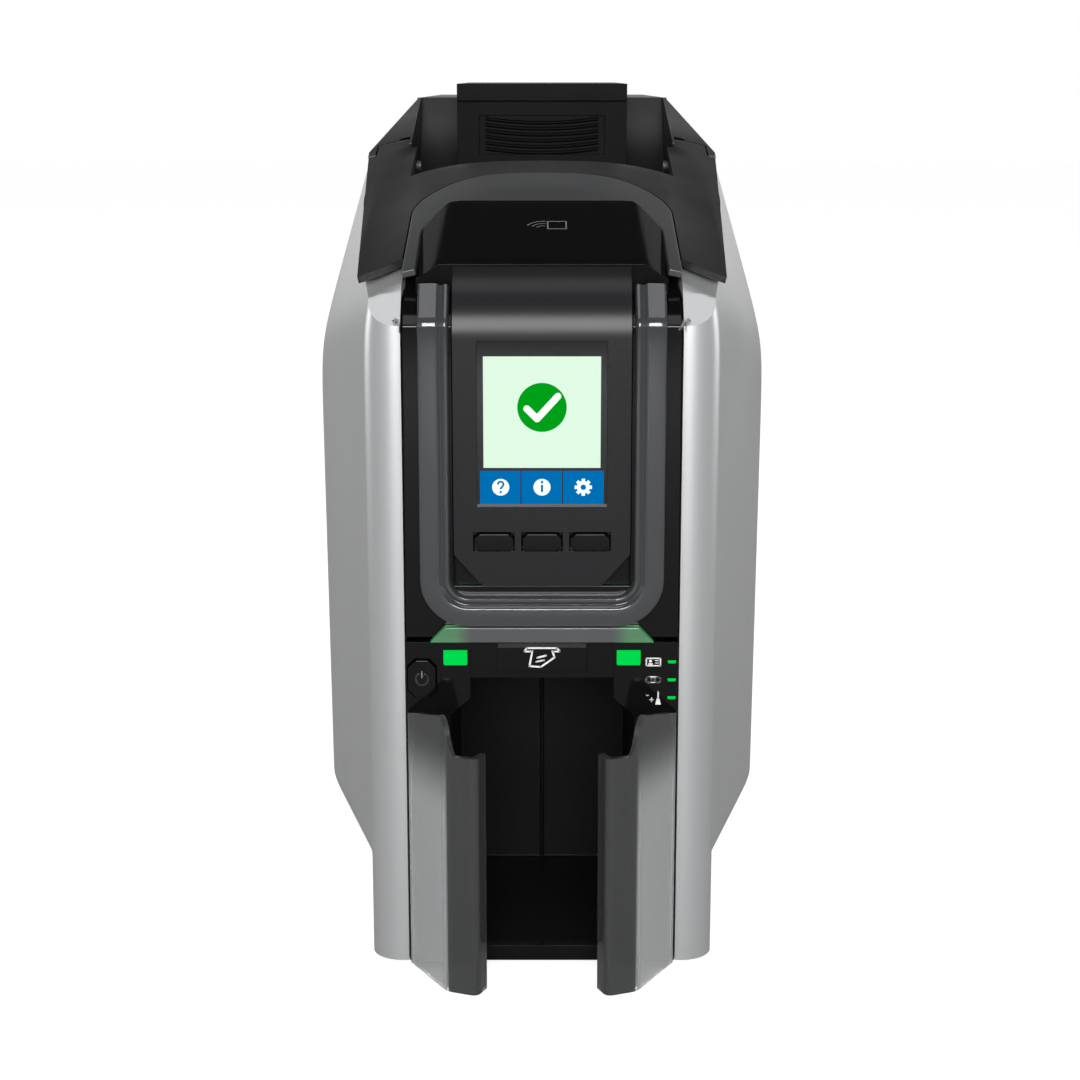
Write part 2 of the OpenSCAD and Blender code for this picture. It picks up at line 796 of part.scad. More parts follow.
// Crest wall, cheeks and floor of the shallow trough behind the crest
module trough_lining() {
    intersection() {
        rail_reach();
        union() {
            block([-trough_x - 1, crest_d - shell_wall, trough_floor], [trough_x + 1, crest_d, 260]);
            both_sides() block([trough_x - shell_wall, crest_d - 1, trough_floor],
                [trough_x, apron_end, 270]);
            block([1 - trough_x, crest_d - 1, trough_floor],
                [trough_x - 1, apron_end, trough_floor + shell_wall]);
        }
    }
}

// Back ends of the two lid rails, rounded about the hinge, with the knuckles under them
module rail_ends() {
    skirt = [[140, 243.4], [150, 245.6], [hinge_d, 242], [hinge_d + 12, 242], [hinge_d + 12, 280],
        [140, 280]];
    ledge = [[140, 244.3], [161.2, 249], [161.2, 280], [140, 280]];
    intersection() {
        both_sides() {
            across(trough_x + 1, knuckle_end, skirt);
            across(knuckle_end - 1, reach, ledge);
        }
        rail_reach();
        union() {
            both_sides() bar(trough_x, 90, hinge_d, hinge_z, 2 * rail_end_r);
            block([-reach, 148, 240], [reach, hinge_d, 300]);
        }
    }
}

// Everything under the crown and the wing planes, from the front of the lid to behind its hinge
module rail_reach() {
    difference() {
        across(-reach, reach, concat(crown_line, [[190, 262], [190, 200], [0, 200]]));
        both_sides() {
            beyond(wing_top, 0);
            beyond(wing_edge, 0);
        }
    }
}

module lid_band() {
    color("#63676b") place() difference() {
        intersection() {
            difference() {
                lid_form(0);
                lid_form(shell_wall);
            }
            upright(0, 300, tongue(band_x, band_front, band_back, band_corner));
        }
        upright(0, 300, tongue(cap_x + 0.3, 0, cap_back + 0.3, cap_corner + 0.3));
    }
}

// Gloss cap in front of the band: under the crown line and its own side slopes
module cap_form(inset) {
    difference() {
        intersection() {
            across(-50, 50, concat(lowered(crown_line, inset), [[150, 150], [0, 150]]));
            upright(0, 300, tongue(cap_x - inset, cap_front + inset, cap_back - inset, cap_corner - inset));
        }
        both_sides() beyond(cap_slope, inset);
    }
}

module touch_cap() {
    color("#0c0d0e") place() difference() {
        cap_form(0);
        cap_form(shell_wall);
        across(-60, 60, concat(lowered(crown_line, cap_depth), [[150, 100], [0, 100]]));
    }
}

// Black front of the lid behind the display, open at the back
module display_housing() {
    color("#25272a") place() difference() {
        housing_box(0);
        housing_box(shell_wall);
        block([-100, 30, 0], [100, 60, 300]);
        block([-panel_x, -1, panel_bottom], [panel_x, 15, 300]);
    }
}

module housing_box(inset) {
    difference() {
        intersection() {
            block([inset - 42.2, inset, lid_bottom + inset], [42.2 - inset, 40, 300]);
            across(-60, 60, concat(lowered(crown_line, cap_depth + inset), [[150, 100], [0, 100]]));
        }
        beyond_slope(strip_slope, inset);
    }
}

// Dark display moulding: flat face, bend, and slope up to the cap
module display_panel() {
    bend_z = 206.6;
    outer_line = concat([[panel_face, panel_bottom]], arc([panel_face + 8, bend_z], 8, 180, 139.4, 5),
        [[9.4, 220.3]]);
    notch = [[18.2, 100], [18.2, panel_bottom], [panel_x, 137], [panel_x + 1, 137], [panel_x + 1, 100]];
    half_window = [window_w / 2, window_h / 2];
    color("#34373a") place() difference() {
        across(-panel_x, panel_x, sheet(outer_line, -shell_wall));
        both_sides() along(-5, 5, notch);
        block([-half_window[0], -5, window_z - half_window[1]],
            [half_window[0], 5, window_z + half_window[1]]);
        for (i = [-1:1]) menu_cut(i);
    }
}

module menu_cut(i) {
    hole = menu_size / 2 + [button_gap, button_gap];
    along(-5, 5, shifted(octagon(hole[0], hole[1], 1.6), [i * menu_pitch, menu_z]));
}

module menu_button(i) {
    half = menu_size / 2;
    at = [i * menu_pitch, menu_z];
    color("#17181a") place() {
        along(-2.7, 1.8, shifted(octagon(half[0], half[1], 1.5), at));
        along(0.75, 1.8, shifted(octagon(half[0] + 0.9, half[1] + 0.9, 1.5), at));
    }
}

module menu_button_left() { menu_button(-1); }
module menu_button_centre() { menu_button(0); }
module menu_button_right() { menu_button(1); }

// Clear U-shaped surround: an outer frame and a lower lip inside it, both open at the top
module clear_bezel() {
    color("lightgray", 0.5) place() {
        bezel_ring(bezel_x, bezel_inner_x, bezel_bottom, 15, bezel_depth);
        bezel_ring(bezel_inner_x, bezel_lip_x, bezel_bottom + bezel_x - bezel_inner_x, 9, 3.6);
    }
}

// One step of the surround, with its legs bent back over the slope
module bezel_ring(outer_x, inner_x, bottom, corner, depth) {
    wall = outer_x - inner_x;
    inner_r = corner - wall;
    slope_end = [7.7, 216.1] + depth * [-0.76, 0.66];
    difference() {
        along(-depth, 0, mirrored(concat(arc([outer_x - corner, bottom + corner], corner, -90, 0, 8),
            [[outer_x, 190]])));
        along(-depth - 1, 1, mirrored(concat(
            arc([inner_x - inner_r, bottom + wall + inner_r], inner_r, -90, 0, 8), [[inner_x, 260]])));
    }
    both_sides() across(inner_x, outer_x, [[-depth, 190], [-depth, 207 + 0.4 * depth], slope_end,
        [7.7, 216.1], [0, strip_bend[2]], [0, 190]]);
}

module light_bar() {
    color("palegreen", 0.6) place()
        along(-3.4, 0, mirrored([[34.7, 109.4], [30, 114.4]]));
}

module display_glass() {
    half = [window_w / 2 + 1.6, window_h / 2 + 1.6];
    color("lightcyan") place()
        block([-half[0], panel_face + shell_wall, window_z - half[1]], [half[0], 3, window_z + half[1]]);
}

module display_board() {
    color("darkgreen") place() {
        block([-36, 8, 121], [36, 9.6, 204]);
        for (x = [-33, 33], z = [125, 198]) peg(x, z, shell_wall, 8, 5);
        block([-14, 9.6, 150], [14, 12, 178]);
    }
}

module lid_frame() {
    outline = [[9.6, 160], [9.6, 196], [36, 206], [62, 224], [112, trough_floor], [157, trough_floor],
        [163, 224], [163, 178], [142, 152], [36, 152]];
    color("lightsteelblue") place() {
        both_sides() difference() {
            across(lid_plate_x, lid_plate_x + lid_plate_t, outline);
            for (at = [supply_at, takeup_at])
                bar(lid_plate_x - 1, lid_plate_x + 3, at[0], at[1], 6 + 2 * fit_gap);
        }
        for (at = [[42, 158], [44, 202], [106, 226], [156, 228]])
            bar(-lid_plate_x, lid_plate_x, at[0], at[1], 6);
    }
}

module print_head() {
    color("darkgray") place() {
        block([-29, head_d - 5, head_z], [29, head_d + 5, head_z + 7]);
        block([-27, head_d - 2, head_z + 7], [27, head_d + 2, head_z + 36]);
        for (x = [-26:4:26]) block([x - 0.6, head_d - 6, head_z + 9], [x + 0.6, head_d + 6, head_z + 33]);
        block([-lid_plate_x, head_d - 13, head_z + 36], [lid_plate_x, head_d + 9, head_z + 38]);
    }
}

// Ribbon spool: wound film between two flanges, with a journal at each end
module spool(at, film_r) {
    bar(-lid_plate_x - 3, lid_plate_x + 3, at[0], at[1], 6);
    bar(-28.5, 28.5, at[0], at[1], 2 * film_r);
    both_sides() bar(28.5, 30.5, at[0], at[1], 38);
}

module ribbon_supply() { color("#54307a") place() spool(supply_at, supply_r); }
module ribbon_takeup() { color("#3b2a52") place() spool(takeup_at, takeup_r); }

// Where a line from p touches a circle; side is 1 or -1 for the two ways round
function touch(p, c, r, side) =
    let (v = c - p, far = norm(v), a = atan2(v[1], v[0]) + side * asin(r / far))
    p + sqrt(far * far - r * r) * [cos(a), sin(a)];

module ribbon_film() {
    under = head_z - 0.9;
    back = [head_d + 6.6, under];
    front = [head_d - 6.6, under];
    run = [touch(back, supply_at, supply_r + 0.6, 1), back, front,
        touch(front, takeup_at, takeup_r + 0.6, -1)];
    color("#6b4a8c") place() across(-27.5, 27.5, sheet(run, -0.4));
}

base_pan();
rubber_feet();
left_side_panel();
right_side_panel();
front_fascia();
card_slot_plate();
exit_lamps();
status_lamps();
output_bin();
left_card_guide();
right_card_guide();
rear_panel();
rear_top_housing();
feeder_bin();
feeder_hinge_rod();
left_frame_plate();
right_frame_plate();
frame_ties();
roller_bushes();
idler_studs();
main_board();
power_inlet();
usb_port();
network_port();
drive_motor();
lid_hinge_pins();
case_screws();
platen_roller();
platen_gear();
exit_roller();
exit_gear();
entry_roller();
entry_gear();
pick_roller();
pick_gear();
idler_gear_1();
idler_gear_2();
idler_gear_3();
motor_pinion();
card_weight();
feeder_cover();
power_button();
lid_shell();
lid_band();
touch_cap();
display_housing();
display_panel();
clear_bezel();
light_bar();
display_glass();
display_board();
lid_frame();
print_head();
ribbon_supply();
ribbon_takeup();
ribbon_film();
menu_button_left();
menu_button_centre();
menu_button_right();
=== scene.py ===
"""Desktop printer for identity cards, dressed for its studio picture.

Lengths are in millimetres until they go into a mesh.  Points are [x, depth, height]: x to the
viewer's right, depth behind the flat front face, height over the table.
"""
import math

import bpy
import numpy as np
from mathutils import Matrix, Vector


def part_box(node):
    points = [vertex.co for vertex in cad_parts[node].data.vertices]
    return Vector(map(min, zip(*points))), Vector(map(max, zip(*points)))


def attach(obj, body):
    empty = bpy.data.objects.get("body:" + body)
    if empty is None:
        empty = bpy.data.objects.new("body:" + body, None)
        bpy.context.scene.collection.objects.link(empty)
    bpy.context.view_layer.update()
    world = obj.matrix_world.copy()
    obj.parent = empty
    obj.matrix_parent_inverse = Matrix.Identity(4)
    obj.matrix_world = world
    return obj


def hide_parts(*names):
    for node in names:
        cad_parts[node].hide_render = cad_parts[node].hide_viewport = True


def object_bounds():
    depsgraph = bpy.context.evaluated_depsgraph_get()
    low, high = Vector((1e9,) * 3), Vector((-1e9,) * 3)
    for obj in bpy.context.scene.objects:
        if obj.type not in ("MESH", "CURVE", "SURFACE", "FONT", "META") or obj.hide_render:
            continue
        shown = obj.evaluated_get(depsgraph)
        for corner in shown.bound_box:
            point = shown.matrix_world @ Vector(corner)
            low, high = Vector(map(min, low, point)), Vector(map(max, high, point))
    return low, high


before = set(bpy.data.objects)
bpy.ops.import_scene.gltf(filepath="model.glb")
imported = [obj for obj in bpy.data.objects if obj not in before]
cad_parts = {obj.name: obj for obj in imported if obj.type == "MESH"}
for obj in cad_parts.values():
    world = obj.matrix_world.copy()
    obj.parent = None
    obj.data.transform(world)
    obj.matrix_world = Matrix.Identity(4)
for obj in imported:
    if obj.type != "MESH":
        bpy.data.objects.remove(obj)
cad_low, cad_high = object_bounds()

# ---------------------------------------------------------------- studio
# A white table in a white room.  A large softbox stands high behind the camera, one stands low on
# each side and a weak one hangs overhead.  Reflections see a room that is white low down and dark
# overhead.  The camera stands above the printer's top edge and looks down.
camera_place = (0, -0.790, 0.2804)
camera_pitch = 12.65
camera_data = bpy.data.cameras.new("camera")
camera_data.lens = 69.1
camera_data.sensor_width = 36
camera_data.shift_x = -0.00185
camera_data.clip_end = 50
camera = bpy.data.objects.new("camera", camera_data)
camera.location = camera_place
camera.rotation_euler = (math.radians(90 - camera_pitch), 0, 0)
bpy.context.scene.collection.objects.link(camera)
bpy.context.scene.camera = camera
bpy.context.scene.view_settings.view_transform = "Standard"


def softbox(name, place, target, width, height, power):
    """A rectangular area lamp at a place, turned so that it faces its target."""
    lamp = bpy.data.lights.new(name, "AREA")
    lamp.shape, lamp.size, lamp.size_y, lamp.energy = "RECTANGLE", width, height, power
    holder = bpy.data.objects.new(name, lamp)
    holder.location = place
    holder.rotation_euler = (Vector(target) - Vector(place)).to_track_quat("-Z", "Y").to_euler()
    bpy.context.scene.collection.objects.link(holder)


softbox("front_softbox", (0, -1.7, 0.62), (0, 0, 0.16), 0.8, 0.6, 33)
softbox("left_softbox", (-1.5, 0.65, 0.4), (0, 0, 0.12), 0.9, 0.9, 9)
softbox("right_softbox", (1.5, 0.65, 0.4), (0, 0, 0.12), 0.9, 0.9, 9)
softbox("top_softbox", (0, -0.4, 1.5), (0, 0.1, 0.2), 0.9, 0.6, 3.5)

world = bpy.data.worlds.new("white_room")
bpy.context.scene.world = world
world.use_nodes = True
room = world.node_tree
room.nodes.clear()


def room_shade(strength=1.0):
    """A white background shader."""
    shade = room.nodes.new("ShaderNodeBackground")
    shade.inputs["Color"].default_value = (1, 1, 1, 1)
    shade.inputs["Strength"].default_value = strength
    return shade


room_light, room_seen, room_glossy = room_shade(0.36), room_shade(), room_shade()
room_direction = room.nodes.new("ShaderNodeTexCoord")
room_height = room.nodes.new("ShaderNodeSeparateXYZ")
room_fade = room.nodes.new("ShaderNodeMapRange")
room_fade.interpolation_type = "SMOOTHSTEP"
for socket, value in (("From Min", 0.1), ("From Max", 0.5), ("To Min", 0.9), ("To Max", 0.03)):
    room_fade.inputs[socket].default_value = value
room.links.new(room_direction.outputs["Generated"], room_height.inputs[0])
room.links.new(room_height.outputs["Z"], room_fade.inputs["Value"])
room.links.new(room_fade.outputs["Result"], room_glossy.inputs["Strength"])
room_ray = room.nodes.new("ShaderNodeLightPath")
mix_glossy = room.nodes.new("ShaderNodeMixShader")
mix_seen = room.nodes.new("ShaderNodeMixShader")
seen = room.nodes.new("ShaderNodeMath")
seen.operation = "MAXIMUM"
room_out = room.nodes.new("ShaderNodeOutputWorld")
room.links.new(room_ray.outputs["Is Camera Ray"], seen.inputs[0])
room.links.new(room_ray.outputs["Is Transmission Ray"], seen.inputs[1])
room.links.new(room_ray.outputs["Is Glossy Ray"], mix_glossy.inputs["Fac"])
room.links.new(room_light.outputs[0], mix_glossy.inputs[1])
room.links.new(room_glossy.outputs[0], mix_glossy.inputs[2])
room.links.new(seen.outputs[0], mix_seen.inputs["Fac"])
room.links.new(mix_glossy.outputs[0], mix_seen.inputs[1])
room.links.new(room_seen.outputs[0], mix_seen.inputs[2])
room.links.new(mix_seen.outputs[0], room_out.inputs["Surface"])

# The table top is grey paint that glows for the camera only, so the picture's ground is white and
# the printer keeps its shadow.
floor_half = 6.0
floor_mesh = bpy.data.meshes.new("floor")
floor_mesh.from_pydata([(-floor_half, -floor_half, 0), (floor_half, -floor_half, 0),
                        (floor_half, floor_half, 0), (-floor_half, floor_half, 0)], [], [(0, 1, 2, 3)])
floor = bpy.data.objects.new("floor", floor_mesh)
bpy.context.scene.collection.objects.link(floor)
floor_paint = bpy.data.materials.new("white_floor")
floor_paint.use_nodes = True
floor_tree = floor_paint.node_tree
floor_shader = floor_tree.nodes["Principled BSDF"]
for socket, value in (("Base Color", (0.36, 0.36, 0.36, 1)), ("Roughness", 0.9), ("Specular IOR Level", 0),
                      ("Emission Color", (1, 1, 1, 1))):
    floor_shader.inputs[socket].default_value = value
floor_ray = floor_tree.nodes.new("ShaderNodeLightPath")
floor_glow = floor_tree.nodes.new("ShaderNodeMath")
floor_glow.operation = "MULTIPLY"
floor_glow.inputs[1].default_value = 0.86
floor_tree.links.new(floor_ray.outputs["Is Camera Ray"], floor_glow.inputs[0])
floor_tree.links.new(floor_glow.outputs[0], floor_shader.inputs["Emission Strength"])
floor.data.materials.append(floor_paint)

# ---------------------------------------------------------------- silver side panels
# Two large mouldings painted satin silver.  Flat facets meet at soft creases, and the front
# edge is a round upright band.  At the top the band leans back into a deck under the lid.
# The corners of the facets are points on the right side panel.  Depth zero is the flat front, and
# the card guides reach out 27 mm before it.
guide_reach = 27
front_y = cad_low.y + guide_reach / 1000
panel_low, panel_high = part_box("right_side_panel")
ridge_x = panel_high.x * 1000
back_joint = (panel_high.y - front_y) * 1000
foot_height = panel_low.z * 1000
panel_wall = 2.4
strip_x = 42.6
band_radius = 10
band_x = 44.7
band_angles = (-12.1, 77.9)
crease = (54.5, 7.9)
ridge_top = (ridge_x, 131, 186)
ridge_back = (ridge_x - 5, 367, 186)
ridge_foot = (ridge_x - 3, 131, 0)
shoulder_front = (54.5, 7.9, 211)
lid_corner = (64.8, 170, 252)
wing_inner = (43, 15, 223.5)
wing_tip = (56.9, 20, 220)
chamfer_corners = ((54.5, 7.9, 37), (54.5, 72, 3), (ridge_x - 1.5, 166, 3))
facets = ((ridge_top, ridge_back, ridge_foot), (shoulder_front, ridge_top, lid_corner),
          (ridge_top, ridge_back, lid_corner))
deck_front = 207
deck_slope = 14 / 12
deck_end = 30
return_top = 206
lid_gap = 3.13


def across_plane(corners, depth, height):
    """Half width of the facet through three corners: the plane's equation solved for x."""
    p, q, r = np.array(corners, float)
    n = np.cross(q - p, r - p)
    return p[0] - (n[1] * (depth - p[1]) + n[2] * (height - p[2])) / n[0]


def height_of_plane(corners, x, depth):
    """Height of the plane through three corners over the point [x, depth]."""
    p, q, r = np.array(corners, float)
    n = np.cross(q - p, r - p)
    return p[2] - (n[0] * (x - p[0]) + n[1] * (depth - p[1])) / n[2]


def soft_min(values, radius):
    """Least of several arrays with its creases rounded: -r log(sum(exp(-value / r)))."""
    stack = np.stack(np.broadcast_arrays(*values))
    least = stack.min(0)
    return least - radius * np.log(np.exp((least - stack) / radius).sum(0))


def grid_piece(name, grid, keep=None, wall=0.0, edge=0.35, outward=None, merge=0.0, crease_angle=35):
    """A sheet of quads over a grid of points [row, column, (x, depth, height)], given a wall
    behind it and rounded edges.  keep says which quads are there, and outward is a direction
    that the front of the sheet has to face on the whole."""
    rows, cols = grid.shape[:2]
    index = np.arange(rows * cols).reshape(rows, cols)
    quads = np.stack([index[:-1, :-1], index[1:, :-1], index[1:, 1:], index[:-1, 1:]], -1)
    quads = quads.reshape(-1, 4) if keep is None else quads[keep]
    points = grid.reshape(-1, 3) * 0.001 + (0, front_y, 0)
    if outward is not None:
        a, b, c, d = (points[quads[:, k]] for k in range(4))
        if (np.cross(c - a, d - b).sum(0) * np.array(outward)).sum() < 0:
            quads = quads[:, ::-1]
    return solid_piece(name, points, quads, wall, edge, merge, crease_angle)


def solid_piece(name, points, faces, wall=0.0, edge=0.35, merge=0.0, crease_angle=35):
    """A mesh piece from points in metres, with an optional wall and rounded edges."""
    mesh = bpy.data.meshes.new(name)
    mesh.from_pydata([tuple(p) for p in np.asarray(points).tolist()], [], [tuple(f) for f in faces])
    mesh.validate()
    mesh.shade_smooth()
    piece = bpy.data.objects.new(name, mesh)
    bpy.context.scene.collection.objects.link(piece)
    soften(piece, wall, edge, merge, crease_angle)
    return piece


def soften(piece, wall, edge, merge, crease_angle):
    """Modifiers that every new moulded piece gets: weld, wall and rounded edges."""
    weld = piece.modifiers.new("weld", "WELD")
    weld.merge_threshold = 0.00002 + merge * 0.001
    if wall:
        shell = piece.modifiers.new("wall", "SOLIDIFY")
        shell.thickness = wall * 0.001
        shell.offset = -1
    if edge:
        round_edges(piece, edge, crease_angle, 3)


def round_edges(piece, edge, crease_angle, segments):
    """Rounded edges and clean normals.  edge is the width in millimetres, and an edge counts as
    one where its faces meet at more than crease_angle degrees."""
    rounding = piece.modifiers.new("rounded_edges", "BEVEL")
    rounding.width = edge * 0.001
    rounding.segments = segments
    rounding.limit_method = "ANGLE"
    rounding.angle_limit = math.radians(crease_angle)
    rounding.use_clamp_overlap = True
    normals = piece.modifiers.new("clean_normals", "WEIGHTED_NORMAL")
    normals.keep_sharp = True


# Moulded grain: fine bumps for the surface normal, and a slow cloud for tone and gloss.
grain = bpy.data.node_groups.new("moulded_grain", "ShaderNodeTree")
for socket, value in (("Size", 0.4), ("Depth", 0.2), ("Cloud Size", 60)):
    grain.interface.new_socket(socket, in_out="INPUT", socket_type="NodeSocketFloat").default_value = value
grain.interface.new_socket("Normal", in_out="OUTPUT", socket_type="NodeSocketVector")
grain.interface.new_socket("Cloud", in_out="OUTPUT", socket_type="NodeSocketFloat")
grain_in = grain.nodes.new("NodeGroupInput")
grain_out = grain.nodes.new("NodeGroupOutput")
grain_place = grain.nodes.new("ShaderNodeTexCoord")
grain_scale = grain.nodes.new("ShaderNodeMath")
grain_scale.operation = "DIVIDE"
grain_scale.inputs[0].default_value = 1000
grain_noise = grain.nodes.new("ShaderNodeTexNoise")
grain_noise.inputs["Detail"].default_value = 3
grain_bump = grain.nodes.new("ShaderNodeBump")
grain_bump.inputs["Distance"].default_value = 0.00003
cloud_scale = grain.nodes.new("ShaderNodeMath")
cloud_scale.operation = "DIVIDE"
cloud_scale.inputs[0].default_value = 1000
cloud_noise = grain.nodes.new("ShaderNodeTexNoise")
cloud_noise.inputs["Detail"].default_value = 4
grain.links.new(grain_in.outputs["Size"], grain_scale.inputs[1])
grain.links.new(grain_scale.outputs[0], grain_noise.inputs["Scale"])
grain.links.new(grain_place.outputs["Object"], grain_noise.inputs["Vector"])
grain.links.new(grain_noise.outputs["Fac"], grain_bump.inputs["Height"])
grain.links.new(grain_in.outputs["Depth"], grain_bump.inputs["Strength"])
grain.links.new(grain_bump.outputs["Normal"], grain_out.inputs["Normal"])
grain.links.new(grain_in.outputs["Cloud Size"], cloud_scale.inputs[1])
grain.links.new(cloud_scale.outputs[0], cloud_noise.inputs["Scale"])
grain.links.new(grain_place.outputs["Object"], cloud_noise.inputs["Vector"])
grain.links.new(cloud_noise.outputs["Fac"], grain_out.inputs["Cloud"])


def moulded(name, colour, roughness, size=0.4, depth=0.15, cloud=60, tone=0.06, gloss_change=0.08, **plain):
    """A moulded, painted or metal finish.  size and depth are the grain's, in millimetres and as a
    share.  The cloud darkens the colour by up to tone and moves the roughness by up to
    gloss_change.  plain sets sockets that are the same all over."""
    material = bpy.data.materials.new(name)
    material.use_nodes = True
    tree = material.node_tree
    shader = tree.nodes["Principled BSDF"]
    detail = tree.nodes.new("ShaderNodeGroup")
    detail.node_tree = grain
    detail.inputs["Size"].default_value = size
    detail.inputs["Depth"].default_value = depth
    detail.inputs["Cloud Size"].default_value = cloud
    shade = tree.nodes.new("ShaderNodeMix")
    shade.data_type = "RGBA"
    shade.inputs["A"].default_value = (*colour, 1)
    shade.inputs["B"].default_value = (*(np.array(colour) * (1 - tone)), 1)
    gloss = tree.nodes.new("ShaderNodeMapRange")
    gloss.inputs["From Min"].default_value = 0.3
    gloss.inputs["From Max"].default_value = 0.7
    gloss.inputs["To Min"].default_value = max(0.02, roughness - gloss_change / 2)
    gloss.inputs["To Max"].default_value = roughness + gloss_change / 2
    tree.links.new(detail.outputs["Cloud"], shade.inputs["Factor"])
    tree.links.new(shade.outputs["Result"], shader.inputs["Base Color"])
    tree.links.new(detail.outputs["Cloud"], gloss.inputs["Value"])
    tree.links.new(gloss.outputs["Result"], shader.inputs["Roughness"])
    tree.links.new(detail.outputs["Normal"], shader.inputs["Normal"])
    for socket, value in plain.items():
        shader.inputs[socket.replace("_", " ")].default_value = value
    return material


def fade(material, axis, start, end, low=0.0, high=1.0):
    """A value that goes softly from low to high while the size of a coordinate goes from start to
    end, in millimetres."""
    nodes, links = material.node_tree.nodes, material.node_tree.links
    place, split = nodes.new("ShaderNodeTexCoord"), nodes.new("ShaderNodeSeparateXYZ")
    size, ramp = nodes.new("ShaderNodeMath"), nodes.new("ShaderNodeMapRange")
    size.operation = "ABSOLUTE"
    ramp.interpolation_type = "SMOOTHSTEP"
    for socket, value in (("From Min", start / 1000), ("From Max", end / 1000),
                          ("To Min", low), ("To Max", high)):
        ramp.inputs[socket].default_value = value
    links.new(place.outputs["Object"], split.inputs[0])
    links.new(split.outputs[axis], size.inputs[0])
    links.new(size.outputs[0], ramp.inputs["Value"])
    return ramp.outputs["Result"]


silver_paint = moulded("silver_paint", (0.42, 0.425, 0.43), 0.36, size=0.12, depth=0.05, tone=0.03,
                       gloss_change=0.04, Metallic=0.55)


def placed(piece, material, body, nodes):
    """Gives a piece its finish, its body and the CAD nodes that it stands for."""
    piece.data.materials.append(material)
    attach(piece, body)
    if nodes:
        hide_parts(*nodes)


def wing_height(x, depth):
    """Height of the lid's sloping wing plane."""
    return height_of_plane((wing_inner, wing_tip, lid_corner), np.abs(x), depth)


def parting(depth):
    """Height where the silver stops: a line that climbs to the lid's hinge and then runs level."""
    return np.where(depth < 170, 210.5 + (depth + 10) * 39 / 180, 249.5)


def deck_height(x, depth):
    """Height of the deck: a ramp from the front edge that stays under the lid's wing."""
    return np.minimum(deck_front + depth * deck_slope, wing_height(x, depth) - lid_gap)


def side_panel(name, side):
    """Half-width over contour and height: the contour is an inner return, a round band and the
    side facet, and the other facets cut it with softened creases.  Rows of the deck follow on top."""
    turn = np.radians(np.linspace(*band_angles, 26))
    run = crease[1] + (back_joint - crease[1]) * np.linspace(0, 1, 170)[1:]
    side_slope = (ridge_x - crease[0]) / (ridge_top[1] - crease[1])
    contour_x = np.concatenate([[strip_x, strip_x], band_x + band_radius * np.sin(turn),
                                crease[0] + (run - crease[1]) * side_slope])
    depth = np.concatenate([[16, 6], band_radius - band_radius * np.cos(turn), run])
    on_return = np.arange(depth.size) < 2
    top = np.where(depth < deck_end, deck_height(contour_x, depth), parting(depth))
    top = np.where(on_return, return_top, top)
    rows = 110
    z = foot_height + np.linspace(0, 1, rows)[:, None] * (top - foot_height)
    d = np.broadcast_to(depth, z.shape)
    foot_cut = np.maximum(across_plane(chamfer_corners, d, z), crease[0])
    foot_cut = np.where(depth > crease[1] + 0.01, foot_cut, 999)
    x = soft_min([np.broadcast_to(contour_x, z.shape), foot_cut], 0.4)
    softness = 0.35 + 1.3 * np.clip((back_joint - depth) / 40, 0, 1)
    x = soft_min([x] + [across_plane(corners, d, z) for corners in facets], softness)
    grid = np.stack([x, d, z], -1)
    inward = np.linspace(0, 1, 8)[1:, None]
    deck_x = x[-1] + inward * (strip_x - x[-1])
    deck_z = np.minimum(deck_height(deck_x, depth),
                        top + (wing_height(deck_x, depth) - wing_height(x[-1], depth)))
    grid = np.concatenate([grid, np.stack([deck_x, np.broadcast_to(depth, deck_x.shape), deck_z], -1)])
    keep = np.ones((grid.shape[0] - 1, grid.shape[1] - 1), bool)
    keep[rows - 1:, :] = (depth[1:] < deck_end) & ~on_return[1:]
    piece = grid_piece(name, grid * (side, 1, 1), keep, wall=panel_wall, edge=0.6, outward=(side, -0.2, 0),
                       merge=0.01, crease_angle=40)
    placed(piece, silver_paint, "base", [name])


side_panel("left_side_panel", -1)
side_panel("right_side_panel", 1)

# ---------------------------------------------------------------- lid
# The charcoal cover: a crown across the middle runs softly into two sloping wings, and two
# rails reach back to the hinge beside a shallow finger trough.  Satin moulding with fine grain.
charcoal = moulded("charcoal_plastic", (0.009, 0.0092, 0.0097), 0.36, size=0.25, depth=0.12, tone=0.12,
                   Specular_IOR_Level=0.35)
skin = 2.2
hinge = (168, 247)
hinge_end = 9.9
knuckle = (48.6, 61.3)
cheek_x = 46.1
lid_front = 30
opening_half = 43.2
opening_corner = 26.4
opening_leg = 69
opening_back = opening_leg + opening_corner
crest_back = 118
trough_back = 158
trough_floor = 236.4
wing_back = 161.2
crown_line = np.array([[0, 218], [12, 225], [55, 240], [75, 245], [95, 248.2], [115, 251], [150, 252.6],
                       [190, 262]])
wing_edge_slope = (lid_corner[0] - wing_tip[0]) / (lid_corner[1] - wing_tip[1])
crest_col, cheek_col, knuckle_cols, lid_cols = 11, 28, (30, 42), 47


def crown(depth):
    """Height along the lid's middle: the crown line averaged over 8 mm."""
    taps = np.linspace(-4, 4, 9)
    return np.mean([np.interp(depth + tap, crown_line[:, 0], crown_line[:, 1]) for tap in taps], 0)


def wing_edge(depth):
    """Half width of the lid at the wing's outer edge."""
    return wing_tip[0] + (depth - wing_tip[1]) * wing_edge_slope


